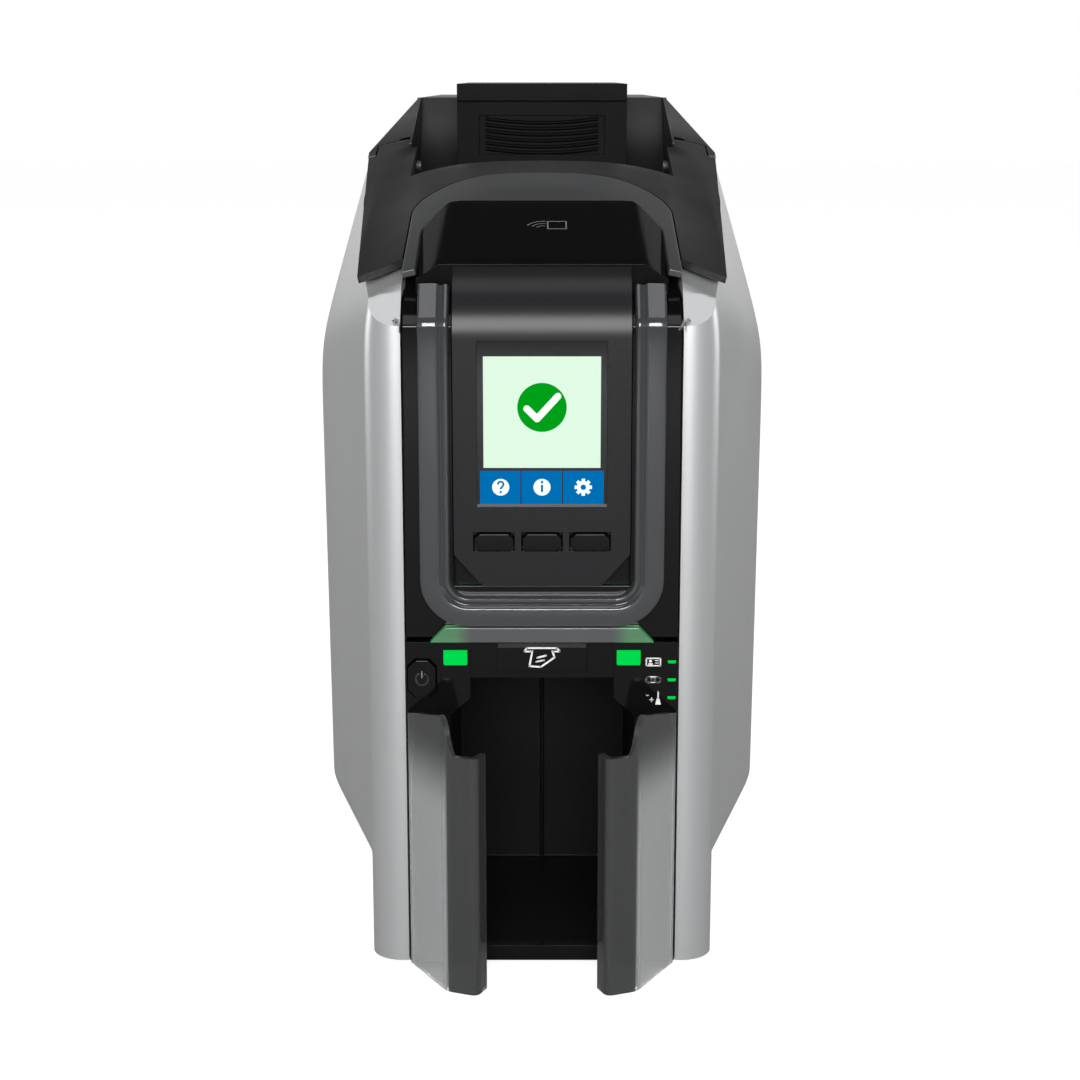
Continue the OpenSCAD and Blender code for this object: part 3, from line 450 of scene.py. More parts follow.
def lid_height(x, depth):
    """Top of the lid: the lower of crown and wing, blended where they meet.  The wing is dished by
    half a millimetre along its middle, and both the dish and the blend fade towards the hinge."""
    half = np.abs(x)
    dish = 1.1 * np.clip(1 - (2 * (half - 50) / 16) ** 2, 0, 1) * np.clip((150 - depth) / 60, 0, 1)
    blend = 2.6 * np.clip((165 - depth) / 45, 0.15, 1)
    wing = wing_height(np.minimum(half, wing_edge(depth)), depth) - dish * 0.5
    heights = np.stack(np.broadcast_arrays(crown(depth), wing))
    least = heights.min(0)
    return least - blend * np.log(np.exp((least - heights) / blend).sum(0))


def both_halves(x, depth, z):
    """A grid for both sides from the grid of the right half, whose first column is the middle."""
    half = np.stack(np.broadcast_arrays(x, depth, z), -1)
    return np.concatenate([half[:, :0:-1] * (-1, 1, 1), half], 1)


# Rows of the skin: six that lead down to the front edge, then along the band's opening, the
# crest, the trough and the hinge.
corner_turn = np.radians(np.linspace(0, 90, 15))
row_depth = np.concatenate([np.full(6, float(lid_front)), np.linspace(lid_front, opening_leg, 14),
                            opening_leg + opening_corner * np.sin(corner_turn[1:]),
                            np.linspace(opening_back, crest_back, 9)[1:],
                            np.linspace(crest_back, trough_back, 12)[1:], [159.5, wing_back],
                            np.linspace(wing_back, hinge[0], 5)[1:]])
row_t = np.concatenate([np.linspace(0, 1, 7)[:-1], np.ones(row_depth.size - 6)])[:, None]
crest_half = opening_half - opening_corner
inner = crest_half + np.sqrt(np.clip(opening_corner ** 2 - (row_depth - opening_leg) ** 2, 0, None))
inner = np.where(row_depth <= opening_leg, opening_half, inner)
inner = np.where(row_depth >= opening_back - 0.1, crest_half, inner)[:, None]


def columns_at_hinge(outer):
    """Half widths across the lid for each row: crest, shoulder, cheek, knuckle and wing tip."""
    to_cheek = np.linspace(0, 1, cheek_col - crest_col + 1)[1:]
    to_edge = np.linspace(0, 1, lid_cols - knuckle_cols[1])[1:]
    across_knuckle = np.linspace(*knuckle, knuckle_cols[1] - knuckle_cols[0] + 1)
    return np.concatenate([inner * np.linspace(0, 1, crest_col + 1), inner + (cheek_x - inner) * to_cheek,
                           np.broadcast_to([47.3], inner.shape),
                           np.broadcast_to(across_knuckle, (inner.shape[0], across_knuckle.size)),
                           knuckle[1] + (outer - knuckle[1]) * to_edge], 1)


def columns_at_front(outer):
    """The same columns spread evenly between the band and the wing's edge, for the front rows."""
    spread = np.linspace(0, 1, lid_cols - crest_col)[1:]
    return np.concatenate([inner * np.linspace(0, 1, crest_col + 1), inner + (outer - inner) * spread], 1)


# The front edge comes forward from the middle to the sides, so width and depth of the front rows
# depend on each other and are settled in three rounds.
depth_now = np.broadcast_to(row_depth[:, None], (row_depth.size, lid_cols)).copy()
for _ in range(3):
    edge_now = wing_edge(depth_now[:, -1:])
    share = np.clip((row_depth[:, None] - 95) / 20, 0, 1)
    x_now = (columns_at_front(edge_now) * (1 - share)
             + columns_at_hinge(np.maximum(edge_now, knuckle[1] + 0.5)) * share)
    lean = 36.5 - 0.29 * x_now
    depth_now = np.where(row_t < 1, lean + (lid_front - lean) * row_t, row_depth[:, None])
z_now = lid_height(x_now, depth_now)

# Twenty more rows go round the hinge, and cells that are open on the real lid are left out: the
# band's opening, the trough, the gap between the knuckles and the wing tips behind their end.
end_turn = np.radians(np.linspace(6, 120, 20))[:, None]
round_depth = np.broadcast_to(hinge[0] + hinge_end * np.sin(end_turn), (end_turn.size, lid_cols))
round_x = np.broadcast_to(x_now[-1], round_depth.shape)
round_z = np.minimum(hinge[1] + hinge_end * np.cos(end_turn), lid_height(round_x, round_depth))
x_now, depth_now, z_now = (np.concatenate(pair) for pair in (
    (x_now, round_x), (depth_now, round_depth), (z_now, round_z)))
rows_at = np.concatenate([row_depth, np.full(end_turn.size, 999.0)])[1:, None]
cols = np.arange(lid_cols - 1)[None]
keep = (((cols >= crest_col) | (rows_at > opening_back + 0.1))
        & ((cols >= cheek_col) | (rows_at < crest_back + 0.1))
        & ((cols >= knuckle_cols[0]) | (rows_at < trough_back + 0.1))
        & ((cols < knuckle_cols[1]) | (rows_at < wing_back + 0.1)))
lid_skin = grid_piece("lid_skin", both_halves(x_now, depth_now, z_now),
                      np.concatenate([keep[:, ::-1], keep], 1), wall=skin, edge=0.8, outward=(0, 0, 1),
                      crease_angle=50)
placed(lid_skin, charcoal, "lid", ["lid_shell"])

# Lining of the trough under the skin: crest wall and floor in one sheet, then a cheek and a solid
# hinge knuckle on each side.
across_trough = np.linspace(0, cheek_x + 0.3, 16)
crest_z = lid_height(across_trough, np.full(16, crest_back - 0.3)) - 1.2
line_d = np.concatenate([np.full(8, crest_back - 0.3), np.linspace(crest_back + 1.5, trough_back, 10)])
fall = np.concatenate([np.linspace(0, 1, 8), np.ones(10)])[:, None]
line_z = crest_z * (1 - fall) + trough_floor * fall
lining = grid_piece("trough_lining", both_halves(across_trough, line_d[:, None], line_z), wall=skin, edge=0.6,
                    outward=(0, 0.3, 1))
placed(lining, charcoal, "lid", [])
cheek_foot = 234.5
for side, name in ((-1, "left"), (1, "right")):
    run = np.linspace(crest_back - 1, trough_back, 12)
    level = np.linspace(0, 1, 8)[:, None]
    cheek_top = lid_height(np.full(12, cheek_x + 0.4), run) - 1.0
    cheek = np.stack(np.broadcast_arrays((cheek_x + 0.3) * side, run,
                                         cheek_foot + level * (cheek_top - cheek_foot)), -1)
    piece = grid_piece(name + "_cheek", cheek, wall=skin, edge=0.4, outward=(-side, 0, 0))
    placed(piece, charcoal, "lid", [])

    stations = np.linspace(knuckle[0] + 0.2, knuckle[1] - 0.2, 7)[:, None]
    turn = np.radians(np.linspace(120, -50, 30))
    loop_d = np.concatenate([hinge[0] + (hinge_end - 1) * np.sin(turn), [152, 152, 168]])
    loop_z = np.concatenate([hinge[1] + (hinge_end - 1) * np.cos(turn), [253.5, 245.4, 242.3]])
    under = lid_height(stations, np.broadcast_to(loop_d, (stations.size, loop_d.size))) - 1
    core = np.stack(np.broadcast_arrays(stations * side, loop_d, np.minimum(loop_z, under)), -1)
    index = np.arange(stations.size * loop_d.size).reshape(stations.size, loop_d.size)
    around = np.roll(index, -1, 1)
    walls = np.stack([index[:-1], index[1:], around[1:], around[:-1]], -1).reshape(-1, 4)[:, ::side]
    faces = walls.tolist() + [index[0][::-side].tolist(), index[-1][::side].tolist()]
    piece = solid_piece(name + "_knuckle", core.reshape(-1, 3) * 0.001 + (0, front_y, 0), faces, edge=0.4)
    placed(piece, charcoal, "lid", [])

# ---------------------------------------------------------------- grey band
# A U-shaped satin strip round the cap.  It lies in the lid's surface and its ends are cut square.
band_grey = moulded("band_grey", (0.045, 0.0465, 0.0485), 0.36, size=0.25, depth=0.1, tone=0.1,
                    Specular_IOR_Level=0.6)
band_front = 12.4


def tongue_line(half, back, corner):
    """Half of a U in plan: a leg from the front, a round corner and the back up to the middle."""
    turn = np.radians(np.linspace(0, 90, 18))[1:]
    leg = np.linspace(band_front, back - corner, 26)
    line_x = np.concatenate([np.full(26, half), half - corner + corner * np.cos(turn),
                             (half - corner) * np.linspace(1, 0, 14)[1:]])
    line_d = np.concatenate([leg, back - corner + corner * np.sin(turn), np.full(13, back)])
    return line_x, line_d


in_x, in_d = tongue_line(half=38.7, back=58.3, corner=13.3)
out_x, out_d = tongue_line(half=42.8, back=95, corner=26)
across = np.linspace(0, 1, 12)[:, None]
strip_x_grid, strip_d_grid = in_x + across * (out_x - in_x), in_d + across * (out_d - in_d)
half = np.stack([strip_x_grid, strip_d_grid, lid_height(strip_x_grid, strip_d_grid)], -1)
band = grid_piece("grey_band", np.concatenate([half, half[:, -2::-1] * (-1, 1, 1)], 1), wall=2.2, edge=0.5,
                  outward=(0, 0, 1))
placed(band, band_grey, "lid", ["lid_band"])

# ---------------------------------------------------------------- gloss cap
# The black piece that cards are tapped on: crown, two side slopes and a skirt, high gloss.
gloss_black = moulded("gloss_black", (0.003, 0.003, 0.0032), 0.1, size=1.5, depth=0.02, tone=0.1,
                      gloss_change=0.04, Specular_IOR_Level=0.22)
cap_slope = ((31, 12, 225), (29.4, 55, 240), (38.4, 8, 218.7))
cap_front = 11.2
cap_width = 38.4
cap_leg = 45
cap_corner = 13
skirt_drop = 9
cap_turn = np.radians(np.linspace(0, 90, 16))[1:]
cap_d = np.concatenate([np.linspace(cap_front, cap_leg, 24), cap_leg + cap_corner * np.sin(cap_turn)])
cap_half = cap_width - cap_corner + np.sqrt(np.clip(cap_corner ** 2 - (cap_d - cap_leg) ** 2, 0, None))
cap_half = np.where(cap_d <= cap_leg, cap_width, cap_half)
across = np.concatenate([np.linspace(-1, -0.74, 8), np.linspace(-0.74, 0.74, 31)[1:-1],
                         np.linspace(0.74, 1, 8)])
cap_x = cap_half[:, None] * across
cap_depth = np.broadcast_to(cap_d[:, None], cap_x.shape)
cap_z = soft_min([crown(cap_depth), height_of_plane(cap_slope, np.abs(cap_x), cap_depth)], 0.22)
cap_grid = np.pad(np.stack([cap_x, cap_depth, cap_z], -1), ((1, 1), (1, 1), (0, 0)), mode="edge")
skirt = np.ones(cap_grid.shape[:2], bool)
skirt[1:-1, 1:-1] = False
cap_grid[skirt, 2] = crown(cap_grid[skirt, 1]) - skirt_drop
cap = grid_piece("tap_cap", cap_grid, wall=2, edge=0.45, outward=(0, 0, 1), merge=0.01, crease_angle=40)
placed(cap, gloss_black, "lid", ["touch_cap"])

# ---------------------------------------------------------------- clear surround
# The smoked frame round the display: a flange, a groove and a raised lip, swept along a U that
# bends back over the slope at its two upper ends.  The section holds [half width, height over the
# face], and the base line [depth, height, lean in depth, lean in height].
smoke = moulded("smoked_polycarbonate", (0.07, 0.073, 0.078), 0.06, size=2, depth=0.0, tone=0.02,
                gloss_change=0.02, Transmission_Weight=0.5, IOR=1.5)
corner_at = (22.4, 129.8)
section = np.array([[37.4, 0.1], [37.4, 4.0], [37.2, 4.6], [36.6, 4.9], [34, 5], [31.9, 5], [31.3, 4.7],
                    [30.9, 4.1], [30.4, 3.9], [29.9, 4.2], [29.3, 4.6], [28.6, 4.5], [28.1, 3.8], [27.9, 2.2],
                    [27.9, 0.2]])
bend_turn = np.radians(np.linspace(0, 49.4, 8))
base_line = np.concatenate([
    [[7.7, 216.1, 0.759, 0.651], [4, 211.7, 0.759, 0.651]],
    np.stack([0 * bend_turn, 207 + 0 * bend_turn, np.cos(bend_turn), np.sin(bend_turn)], -1)[::-1],
    [[0, z, 1, 0] for z in np.linspace(203, corner_at[1], 24)]])
w, p = section[:, 0], section[:, 1]
line_d, line_z, lean_d, lean_z = base_line.T[..., None]
leg = np.stack([np.broadcast_to(w, (len(base_line), len(w))), line_d - p * lean_d, line_z + p * lean_z], -1)
turn = np.radians(np.linspace(0, -90, 16))[1:, None]
bend = np.stack([corner_at[0] + (w - corner_at[0]) * np.cos(turn), np.broadcast_to(-p, (15, len(p))),
                 corner_at[1] + (w - corner_at[0]) * np.sin(turn)], -1)
level = np.linspace(corner_at[0], 0, 14)[1:, None]
foot = np.stack(np.broadcast_arrays(level, -p, corner_at[1] - (w - corner_at[0])), -1)
half = np.concatenate([leg, bend, foot])
surround = grid_piece("clear_surround", np.concatenate([half, half[-2::-1] * (-1, 1, 1)]), wall=1.3,
                      edge=0.25, outward=(0, -1, 0))
placed(surround, smoke, "lid", ["clear_bezel"])

# ---------------------------------------------------------------- display moulding
# Semi-gloss dark grey: a flat face with a window and three key holes, and two chamfered lower
# corners.  Above the window it bends back in one wide curve and runs in under the cap.
display_grey = moulded("display_grey", (0.012, 0.0122, 0.0132), 0.27, size=0.5, depth=0.0, tone=0.05,
                       gloss_change=0.02, Specular_IOR_Level=0.16)
face_d, face_top = -1.5, 203.4
brow_end = (10.9, 223.7)
panel_foot = 127
panel_half = 27
window_x, window_foot, window_top = 19.8, 151.9, 202.7
key_foot, key_top = 137.95, 144.05
key_edges = (6.35, 8.35, 21.05)
brow_d, brow_z = brow_end[0] - face_d, brow_end[1] - face_top
brow_r = (brow_d ** 2 + brow_z ** 2) / (2 * brow_d)
panel_z = np.concatenate([np.linspace(panel_foot, 137, 6), [key_foot, 141, key_top, 148],
                          np.linspace(window_foot, window_top, 14),
                          np.linspace(face_top, brow_end[1], 24)])[:, None]
panel_d = face_d + brow_r - np.sqrt(brow_r ** 2 - np.clip(panel_z - face_top, 0, None) ** 2)
straight_x = 17.9
lines = np.array([0, 3.2, key_edges[0], key_edges[1], 11.5, 14.7, straight_x, window_x, key_edges[2],
                  23, 25, panel_half])
half_now = np.clip(18.2 + (panel_z - panel_foot) * 0.88, None, panel_half)
spread = (lines - straight_x) / (panel_half - straight_x)
panel_x = np.where(lines <= straight_x, lines, straight_x + (half_now - straight_x) * spread)
mid_z, mid_x = (panel_z[1:] + panel_z[:-1]) / 2, (lines[1:] + lines[:-1])[None] / 2
in_window = (mid_x < window_x) & (mid_z > window_foot) & (mid_z < window_top)
in_key = ((mid_z > key_foot) & (mid_z < key_top)
          & ((mid_x < key_edges[0]) | ((mid_x > key_edges[1]) & (mid_x < key_edges[2]))))
keep = ~(in_window | in_key)
panel = grid_piece("display_moulding", both_halves(panel_x, panel_d, panel_z),
                   np.concatenate([keep[:, ::-1], keep], 1), wall=2.2, edge=0.45, outward=(0, -1, 0),
                   crease_angle=40)
placed(panel, display_grey, "lid", ["display_panel"])

# ---------------------------------------------------------------- clear card guides
# Two bent sheets of polycarbonate that hold the printed cards: pale outside, with the colour darkened
# over the upper part as painted reflection of the dark front, and darker along the lip towards the gap.
clear_sheet = moulded("clear_polycarbonate", (0.82, 0.835, 0.84), 0.08, size=2, depth=0.0, tone=0.0,
                      gloss_change=0.02, Transmission_Weight=0.76, IOR=1.5)
sheet_nodes, sheet_links = clear_sheet.node_tree.nodes, clear_sheet.node_tree.links
pale_share = sheet_nodes.new("ShaderNodeMath")
pale_share.operation = "MULTIPLY"
tint_with_painted_reflection = sheet_nodes.new("ShaderNodeMix")
tint_with_painted_reflection.data_type = "RGBA"
tint_with_painted_reflection.inputs["A"].default_value = (0.12, 0.123, 0.126, 1)
tint_with_painted_reflection.inputs["B"].default_value = (0.82, 0.835, 0.84, 1)
# Painted reflection: the base colour goes dark towards the top, standing for the dark front reflected in and
# seen through the sheet; it is dark along the lip too.
sheet_links.new(fade(clear_sheet, "X", 28.6, 30.2), pale_share.inputs[0])
sheet_links.new(fade(clear_sheet, "Z", 60, 84, 1, 0), pale_share.inputs[1])
sheet_links.new(pale_share.outputs[0], tint_with_painted_reflection.inputs["Factor"])
sheet_links.new(tint_with_painted_reflection.outputs["Result"], sheet_nodes["Principled BSDF"].inputs["Base Color"])
sheet_wall = 2.0


def rounded_line(points, radii, count=7):
    """A polyline whose inner corners are replaced by short curves."""
    points = np.array(points, float)
    made = [points[:1]]
    for before, at, after, r in zip(points[:-2], points[1:-1], points[2:], radii):
        a = at + (before - at) / np.linalg.norm(before - at) * r
        b = at + (after - at) / np.linalg.norm(after - at) * r
        u = np.linspace(0, 1, count)[:, None]
        made.append((1 - u) ** 2 * a + 2 * u * (1 - u) * at + u ** 2 * b)
    made.append(points[-1:])
    line = np.concatenate(made)
    return line[np.concatenate([[True], np.linalg.norm(np.diff(line, axis=0), axis=1) > 1e-6])]


def resampled(line, step):
    """The same line with extra points, so that no gap is longer than step."""
    pieces = [line[:1]]
    for a, b in zip(line[:-1], line[1:]):
        count = max(1, int(np.ceil(np.linalg.norm(b - a) / step)))
        pieces.append(a + (b - a) * (np.arange(1, count + 1) / count)[:, None])
    return np.concatenate(pieces)


plan = resampled(rounded_line([[41.9, -0.2], [41.9, -1.6], [29.5, -23.3], [19.9, -27], [17.1, -20.9]],
                              [0.8, 2.2, 2.4]), 0.9)
lip_top = 79.5
guide_foot = 3
neck_share = np.clip((plan[:, 0] - 26.6) / (31.5 - 26.6), 0, 1)
neck = neck_share ** 2 * (3 - 2 * neck_share)
outer_top = 86 + 6 * np.clip(-plan[:, 1] / 23, 0, 1)
top = lip_top + (outer_top - lip_top) * neck
rise = np.concatenate([np.linspace(0, 0.9, 12), np.linspace(0.9, 1, 8)[1:]])[:, None]
for side, name in ((-1, "left"), (1, "right")):
    sheet = np.stack(np.broadcast_arrays(plan[:, 0] * side, plan[:, 1],
                                         guide_foot + rise * (top - guide_foot)), -1)
    guide = grid_piece(name + "_guide", sheet, wall=sheet_wall, edge=0.5, outward=(side, -1, 0))
    placed(guide, clear_sheet, "base", [name + "_card_guide"])

# ---------------------------------------------------------------- screen
# A lit display behind the panel's window: pale page, green disc with a tick, and a blue bar
# with three symbols.  Each is a thin sheet in front of the dark glass.
def drawn(name, shapes, place, material, body):
    """Flat shapes [(x, v), ...] in one thin sheet; place turns x and v into [x, depth, height]."""
    points, faces, count = [], [], 0
    for shape in shapes:
        x, v = np.array(shape, float).T
        if (x * np.roll(v, -1) - np.roll(x, -1) * v).sum() < 0:
            x, v = x[::-1], v[::-1]
        points.append(np.stack(np.broadcast_arrays(*place(x, v)), -1))
        faces.append(tuple(range(count, count + x.size)))
        count += x.size
    mesh = bpy.data.meshes.new(name)
    mesh.from_pydata((np.concatenate(points) * 0.001 + (0, front_y, 0)).tolist(), [], faces)
    piece = bpy.data.objects.new(name, mesh)
    bpy.context.scene.collection.objects.link(piece)
    placed(piece, material, body, [])


def flat_piece(name, shapes, depth, material, body, lift=0.03):
    """Upright flat shapes [(x, height), ...] at one depth, facing the viewer."""
    drawn(name, shapes, lambda x, z: (x, depth - lift, z), material, body)


def arc(x, z, r, start, end, count=14):
    """Points on an arc, angles in degrees."""
    turn = np.radians(np.linspace(start, end, count))
    return np.stack([x + r * np.cos(turn), z + r * np.sin(turn)], -1).tolist()


def disc(x, z, r, count=48):
    """A round shape."""
    return arc(x, z, r, 0, 360, count + 1)[:-1]


def stroke(line, width):
    """A drawn line as quads with round joints."""
    shapes = [disc(x, z, width / 2, 16) for x, z in line]
    for (x0, z0), (x1, z1) in zip(line, line[1:]):
        length = math.hypot(x1 - x0, z1 - z0)
        u, v = -(z1 - z0) / length * width / 2, (x1 - x0) / length * width / 2
        shapes.append([(x0 + u, z0 + v), (x1 + u, z1 + v), (x1 - u, z1 - v), (x0 - u, z0 - v)])
    return shapes


def rectangle(x0, z0, x1, z1):
    """A rectangle from two corners."""
    return [(x0, z0), (x1, z0), (x1, z1), (x0, z1)]


def lit(name, colour, strength):
    """A surface that gives its own light."""
    material = bpy.data.materials.new(name)
    material.use_nodes = True
    shader = material.node_tree.nodes["Principled BSDF"]
    shader.inputs["Base Color"].default_value = (*(np.array(colour) * 0.1), 1)
    shader.inputs["Roughness"].default_value = 0.5
    shader.inputs["Specular IOR Level"].default_value = 0
    shader.inputs["Emission Color"].default_value = (*colour, 1)
    shader.inputs["Emission Strength"].default_value = strength
    return material


glass_face = (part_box("display_glass")[0].y - front_y) * 1000
page = lit("page", (0.70, 0.90, 0.73), 0.92)
page_white = lit("page_white", (0.9, 1.0, 0.92), 0.95)
page_green = lit("page_green", (0.0, 0.36, 0.01), 0.8)
page_blue = lit("page_blue", (0.0, 0.15, 0.44), 0.9)
bar_x, bar_z = 12.6, 157.6
flat_piece("page", [rectangle(-17.8, 163.6, 17.8, 197.7)], glass_face, page, "lid", 0.03)
flat_piece("page_bar", [rectangle(-18.9 + 12.7 * i, 152.4, -6.6 + 12.7 * i, 162.7) for i in range(3)],
           glass_face, page_blue, "lid", 0.03)
flat_piece("page_disc", [disc(0, 182.2, 7.5)], glass_face, page_green, "lid", 0.06)
flat_piece("page_tick", stroke([(-4.6, 181.8), (-1.5, 178.7), (4.8, 185.6)], 2.1), glass_face, page_white,
           "lid", 0.09)
tooth = ((1.5, -16), (2.7, -12), (2.7, 12), (1.5, 16))
gear_teeth = [[arc(bar_x, bar_z, r, a + turn, a + turn, 1)[0] for r, turn in tooth]
              for a in range(0, 360, 45)]
symbol_grounds = [disc(-bar_x, bar_z, 2.6), disc(0, bar_z, 2.6), disc(bar_x, bar_z, 2.0)]
flat_piece("page_symbols", symbol_grounds + gear_teeth, glass_face, page_white, "lid", 0.06)
question_mark = stroke(arc(-bar_x, bar_z + 0.9, 0.85, 170, -60, 10) + [(-bar_x, bar_z - 0.4)], 0.6)
letter_i = stroke([(0, bar_z - 1.2), (0, bar_z + 0.5)], 0.7)
dots = [disc(0, bar_z + 1.6, 0.42, 16), disc(-bar_x, bar_z - 1.5, 0.4, 16), disc(bar_x, bar_z, 0.85, 24)]
flat_piece("page_marks", question_mark + letter_i + dots, glass_face, page_blue, "lid", 0.09)

# ---------------------------------------------------------------- printed symbols
# Generic pictograms in printed ink: white ones on the black front, where the cards come out and
# beside the three lamps, and grey ones on the cap and the power button.
white_ink = moulded("white_ink", (0.62, 0.62, 0.62), 0.5, size=0.3, depth=0.02)
grey_ink = moulded("grey_ink", (0.16, 0.16, 0.16), 0.5, size=0.3, depth=0.02)
slot_face = (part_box("card_slot_plate")[0].y - front_y) * 1000
fascia_face = 0
slot_lips = (stroke([(-5.6, 105.9), (-4.6, 107.0), (4.6, 107.0), (5.6, 105.9)], 0.55)
             + stroke([(-5.6, 105.9), (-3.6, 105.9)], 0.55) + stroke([(5.6, 105.9), (3.6, 105.9)], 0.55))
card_coming_out = (stroke([(-3.0, 106.0), (-3.9, 101.2), (-0.4, 100.9), (3.9, 104.0), (3.2, 106.0)], 0.55)
                   + stroke([(-1.4, 103.9), (1.2, 104.6)], 0.6) + stroke([(-1.8, 102.6), (0.6, 103.1)], 0.5))
flat_piece("slot_symbol", slot_lips + card_coming_out, slot_face, white_ink, "base")

card = (stroke(rectangle(32.4, 101.2, 36.8, 103.6) + [(32.4, 101.2)], 0.4)
        + [disc(33.7, 102.7, 0.5, 16), rectangle(33.0, 101.5, 34.4, 102.0)]
        + stroke([(35.2, 102.9), (36.2, 102.9)], 0.3) + stroke([(35.2, 102.1), (36.2, 102.1)], 0.3))
ribbon = (stroke(arc(33.2, 96.6, 0.9, 0, 360, 20), 0.4) + stroke(arc(36.0, 96.6, 0.9, 0, 360, 20), 0.4)
          + stroke([(33.2, 97.6), (36.0, 97.6)], 0.4) + stroke([(33.6, 95.8), (35.6, 95.8)], 0.3))
brush = stroke([(36.2, 92.8), (36.2, 90.6)], 0.4) + [[(35.3, 88.6), (37.1, 88.6), (36.6, 90.6), (35.8, 90.6)]]
sparkle = (stroke([(33.6, 90.2), (34.8, 90.2)], 0.3) + stroke([(34.2, 89.6), (34.2, 90.8)], 0.3)
           + stroke([(32.6, 91.6), (33.2, 91.6)], 0.3))
flat_piece("card_symbol", card + ribbon + brush + sparkle, fascia_face, white_ink, "base")

waves = [line for r in (2.2, 3.9, 5.6) for line in stroke(arc(0.4, 35.5, r, 82, 150, 9), 0.45)]
tapped_card = stroke(rectangle(1.8, 35.5, 7.6, 41) + [(1.8, 35.5)], 0.45)
drawn("tap_symbol", waves + tapped_card, lambda x, depth: (x, depth, crown(depth) + 0.08), grey_ink, "lid")

button_low, button_high = ((np.array(corner) - (0, front_y, 0)) * 1000 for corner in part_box("power_button"))
button_x, button_z = ((button_low + button_high) / 2)[[0, 2]]
button_face = button_low[1]
power_mark = (stroke(arc(button_x, button_z, 1.9, 125, 415, 26), 0.45)
              + stroke([(button_x, button_z + 0.5), (button_x, button_z + 2.4)], 0.45))
flat_piece("power_symbol", power_mark, button_face, grey_ink, "power_button", 0.02)

# ---------------------------------------------------------------- front, hopper and back shells
# Black mouldings that keep the meshes of their solids: the glossy front with its keys and lamps,
# the satin trays behind it, the back and its feet.  Flat faces are merged and edges rounded.
smooth = bpy.data.node_groups.new("smooth_faces", "GeometryNodeTree")
smooth.is_modifier = True
smooth.interface.new_socket("Geometry", in_out="INPUT", socket_type="NodeSocketGeometry")
smooth.interface.new_socket("Geometry", in_out="OUTPUT", socket_type="NodeSocketGeometry")
smooth_in, smooth_out = smooth.nodes.new("NodeGroupInput"), smooth.nodes.new("NodeGroupOutput")
smooth_set = smooth.nodes.new("GeometryNodeSetShadeSmooth")
smooth.links.new(smooth_in.outputs[0], smooth_set.inputs["Geometry"])
smooth.links.new(smooth_set.outputs["Geometry"], smooth_out.inputs[0])


def polished(material, edge, *names):
    """Gives solids their finish and rounds their edges in place.  edge is in millimetres."""
    for name in names:
        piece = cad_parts[name]
        even = piece.modifiers.new("smooth_faces", "NODES")
        even.node_group = smooth
        weld = piece.modifiers.new("weld", "WELD")
        weld.merge_threshold = 0.00001
        flat = piece.modifiers.new("flat_faces", "DECIMATE")
        flat.decimate_type = "DISSOLVE"
        flat.angle_limit = math.radians(0.6)
        round_edges(piece, edge, 30, 2)
        piece.data.materials.clear()
        piece.data.materials.append(material)


satin_black = moulded("satin_black", (0.005, 0.005, 0.0055), 0.38, size=0.3, depth=0.08, tone=0.1,
                      Specular_IOR_Level=0.08)
feeder_black = moulded("feeder_black", (0.003, 0.003, 0.0033), 0.4, size=0.25, depth=0.06, tone=0.1,
                       Specular_IOR_Level=0.03)
foot_rubber = moulded("foot_rubber", (0.012, 0.012, 0.012), 0.8, size=0.3, depth=0.2)
green_lamp = lit("green_lamp", (0.0, 0.75, 0.08), 0.8)
polished(gloss_black, 0.3, "front_fascia", "card_slot_plate")
polished(gloss_black, 0.35, "power_button", "menu_button_left", "menu_button_centre", "menu_button_right")
polished(green_lamp, 0.5, "exit_lamps", "status_lamps")
polished(satin_black, 0.4, "base_pan", "output_bin", "power_inlet")
polished(feeder_black, 0.6, "rear_panel")
polished(charcoal, 0.7, "rear_top_housing")
polished(foot_rubber, 0.6, "rubber_feet")

# ---------------------------------------------------------------- card feeder
# The bin for blank cards, the weight that presses them down and a hinged cover.  Six ribs for the
# fingers stand in the recess of the cover's front, each a half-round bar that sags in the middle.
polished(satin_black, 0.4, "feeder_bin", "card_weight")
polished(feeder_black, 1.2, "feeder_cover")
cover_front = (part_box("feeder_cover")[0].y - front_y) * 1000
recess_depth = 4.3
rib_half, rib_pitch, rib_foot = 22, 2.3, 252.2
rib_turn = np.radians(np.linspace(0, 180, 9))[:, None]
rib_x = np.linspace(-rib_half, rib_half, 23)
rib_sag = 1.6 * (1 - (rib_x / rib_half) ** 2)
for i in range(6):
    rib = np.stack(np.broadcast_arrays(rib_x, cover_front + recess_depth - 1.1 * np.sin(rib_turn),
                                       rib_foot + rib_pitch * i - rib_sag + 0.75 * np.cos(rib_turn)), -1)
    placed(grid_piece("grip_rib_%d" % i, rib, edge=0, outward=(0, -1, 0)), feeder_black, "feeder_cover", [])

# ---------------------------------------------------------------- display housing
# The glossy box behind the display moulding, and the dark glass over the screen.  A satin black
# sheet closes the gap behind the moulding's chamfered corners.
glass = moulded("display_glass", (0.004, 0.004, 0.005), 0.08, size=3, depth=0.0, tone=0.0, gloss_change=0.02)
polished(gloss_black, 0.5, "display_housing")
polished(glass, 0.3, "display_glass")
flat_piece("corner_backing", [rectangle(-26.9, 127.1, 26.9, 139.5)], 3.2, satin_black, "lid", 0)

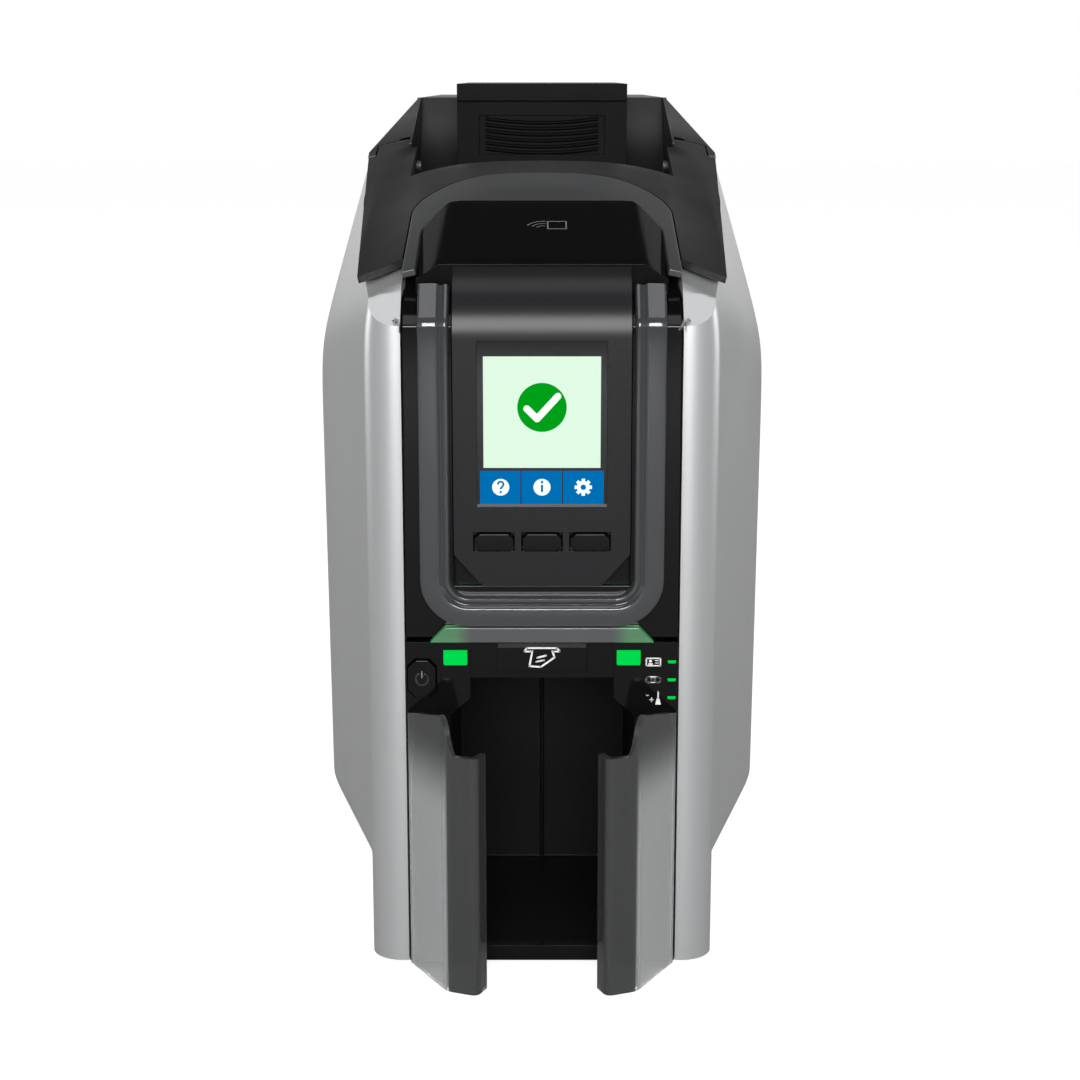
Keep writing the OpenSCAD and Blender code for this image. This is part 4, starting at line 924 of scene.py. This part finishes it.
# ---------------------------------------------------------------- light bar
# A clear moulding under the display that glows green towards its two ends.
bar_plastic = moulded("light_bar_plastic", (0.1, 0.105, 0.11), 0.1, size=2, depth=0.0, tone=0.02,
                      Transmission_Weight=0.4, IOR=1.5)
bar_nodes, bar_links = bar_plastic.node_tree.nodes, bar_plastic.node_tree.links
bar_glow = bar_nodes.new("ShaderNodeMix")
bar_glow.data_type = "RGBA"
bar_glow.inputs["A"].default_value = (0, 0, 0, 1)
bar_glow.inputs["B"].default_value = (0.0, 0.8, 0.12, 1)
bar_nodes["Principled BSDF"].inputs["Emission Strength"].default_value = 0.16
bar_links.new(fade(bar_plastic, "X", 21, 28), bar_glow.inputs["Factor"])
bar_links.new(bar_glow.outputs["Result"], bar_nodes["Principled BSDF"].inputs["Emission Color"])
polished(bar_plastic, 0.5, "light_bar")

# ---------------------------------------------------------------- card transport
# Zinc-plated plates, ties and pins, brass bushes and pinion, rubber rollers, acetal gears and a
# painted motor, as they come from their makers.
plated_steel = moulded("plated_steel", (0.6, 0.6, 0.59), 0.34, size=0.5, depth=0.05, cloud=15, tone=0.15,
                       Metallic=1)
bearing_brass = moulded("bearing_brass", (0.55, 0.36, 0.13), 0.36, size=0.3, depth=0.05, tone=0.12,
                        Metallic=1)
roller_rubber = moulded("roller_rubber", (0.022, 0.022, 0.023), 0.7, size=0.2, depth=0.2)
acetal = moulded("acetal", (0.62, 0.6, 0.5), 0.4, size=0.4, depth=0.04)
motor_paint = moulded("motor_paint", (0.02, 0.02, 0.022), 0.4, size=0.5, depth=0.05)
polished(plated_steel, 0.25, "left_frame_plate", "right_frame_plate", "frame_ties", "idler_studs",
         "case_screws", "feeder_hinge_rod", "lid_hinge_pins", "lid_frame")
polished(bearing_brass, 0.15, "roller_bushes", "motor_pinion")
polished(roller_rubber, 0.3, "platen_roller", "exit_roller", "entry_roller", "pick_roller")
polished(acetal, 0.15, "platen_gear", "exit_gear", "entry_gear", "pick_gear", "idler_gear_1", "idler_gear_2",
         "idler_gear_3")
polished(motor_paint, 0.4, "drive_motor")

# ---------------------------------------------------------------- print head and ribbon
# An anodised head in the lid's frame, and the colour film that runs under it between two spools.
anodised = moulded("anodised", (0.55, 0.56, 0.57), 0.36, size=0.2, depth=0.05, tone=0.05, Metallic=1)
ribbon_film = moulded("ribbon_film", (0.06, 0.02, 0.09), 0.25, size=1, depth=0.03, tone=0.15)
polished(anodised, 0.3, "print_head")
polished(ribbon_film, 0.15, "ribbon_supply", "ribbon_takeup", "ribbon_film")

# ---------------------------------------------------------------- boards and sockets
# Two green circuit boards and the tinned steel shells of their sockets.
board_green = moulded("board_green", (0.012, 0.11, 0.04), 0.35, size=0.6, depth=0.05, tone=0.2)
tinned_steel = moulded("tinned_steel", (0.66, 0.66, 0.65), 0.28, size=0.6, depth=0.03, tone=0.06, Metallic=1)
polished(board_green, 0.2, "main_board", "display_board")
polished(tinned_steel, 0.25, "usb_port", "network_port")
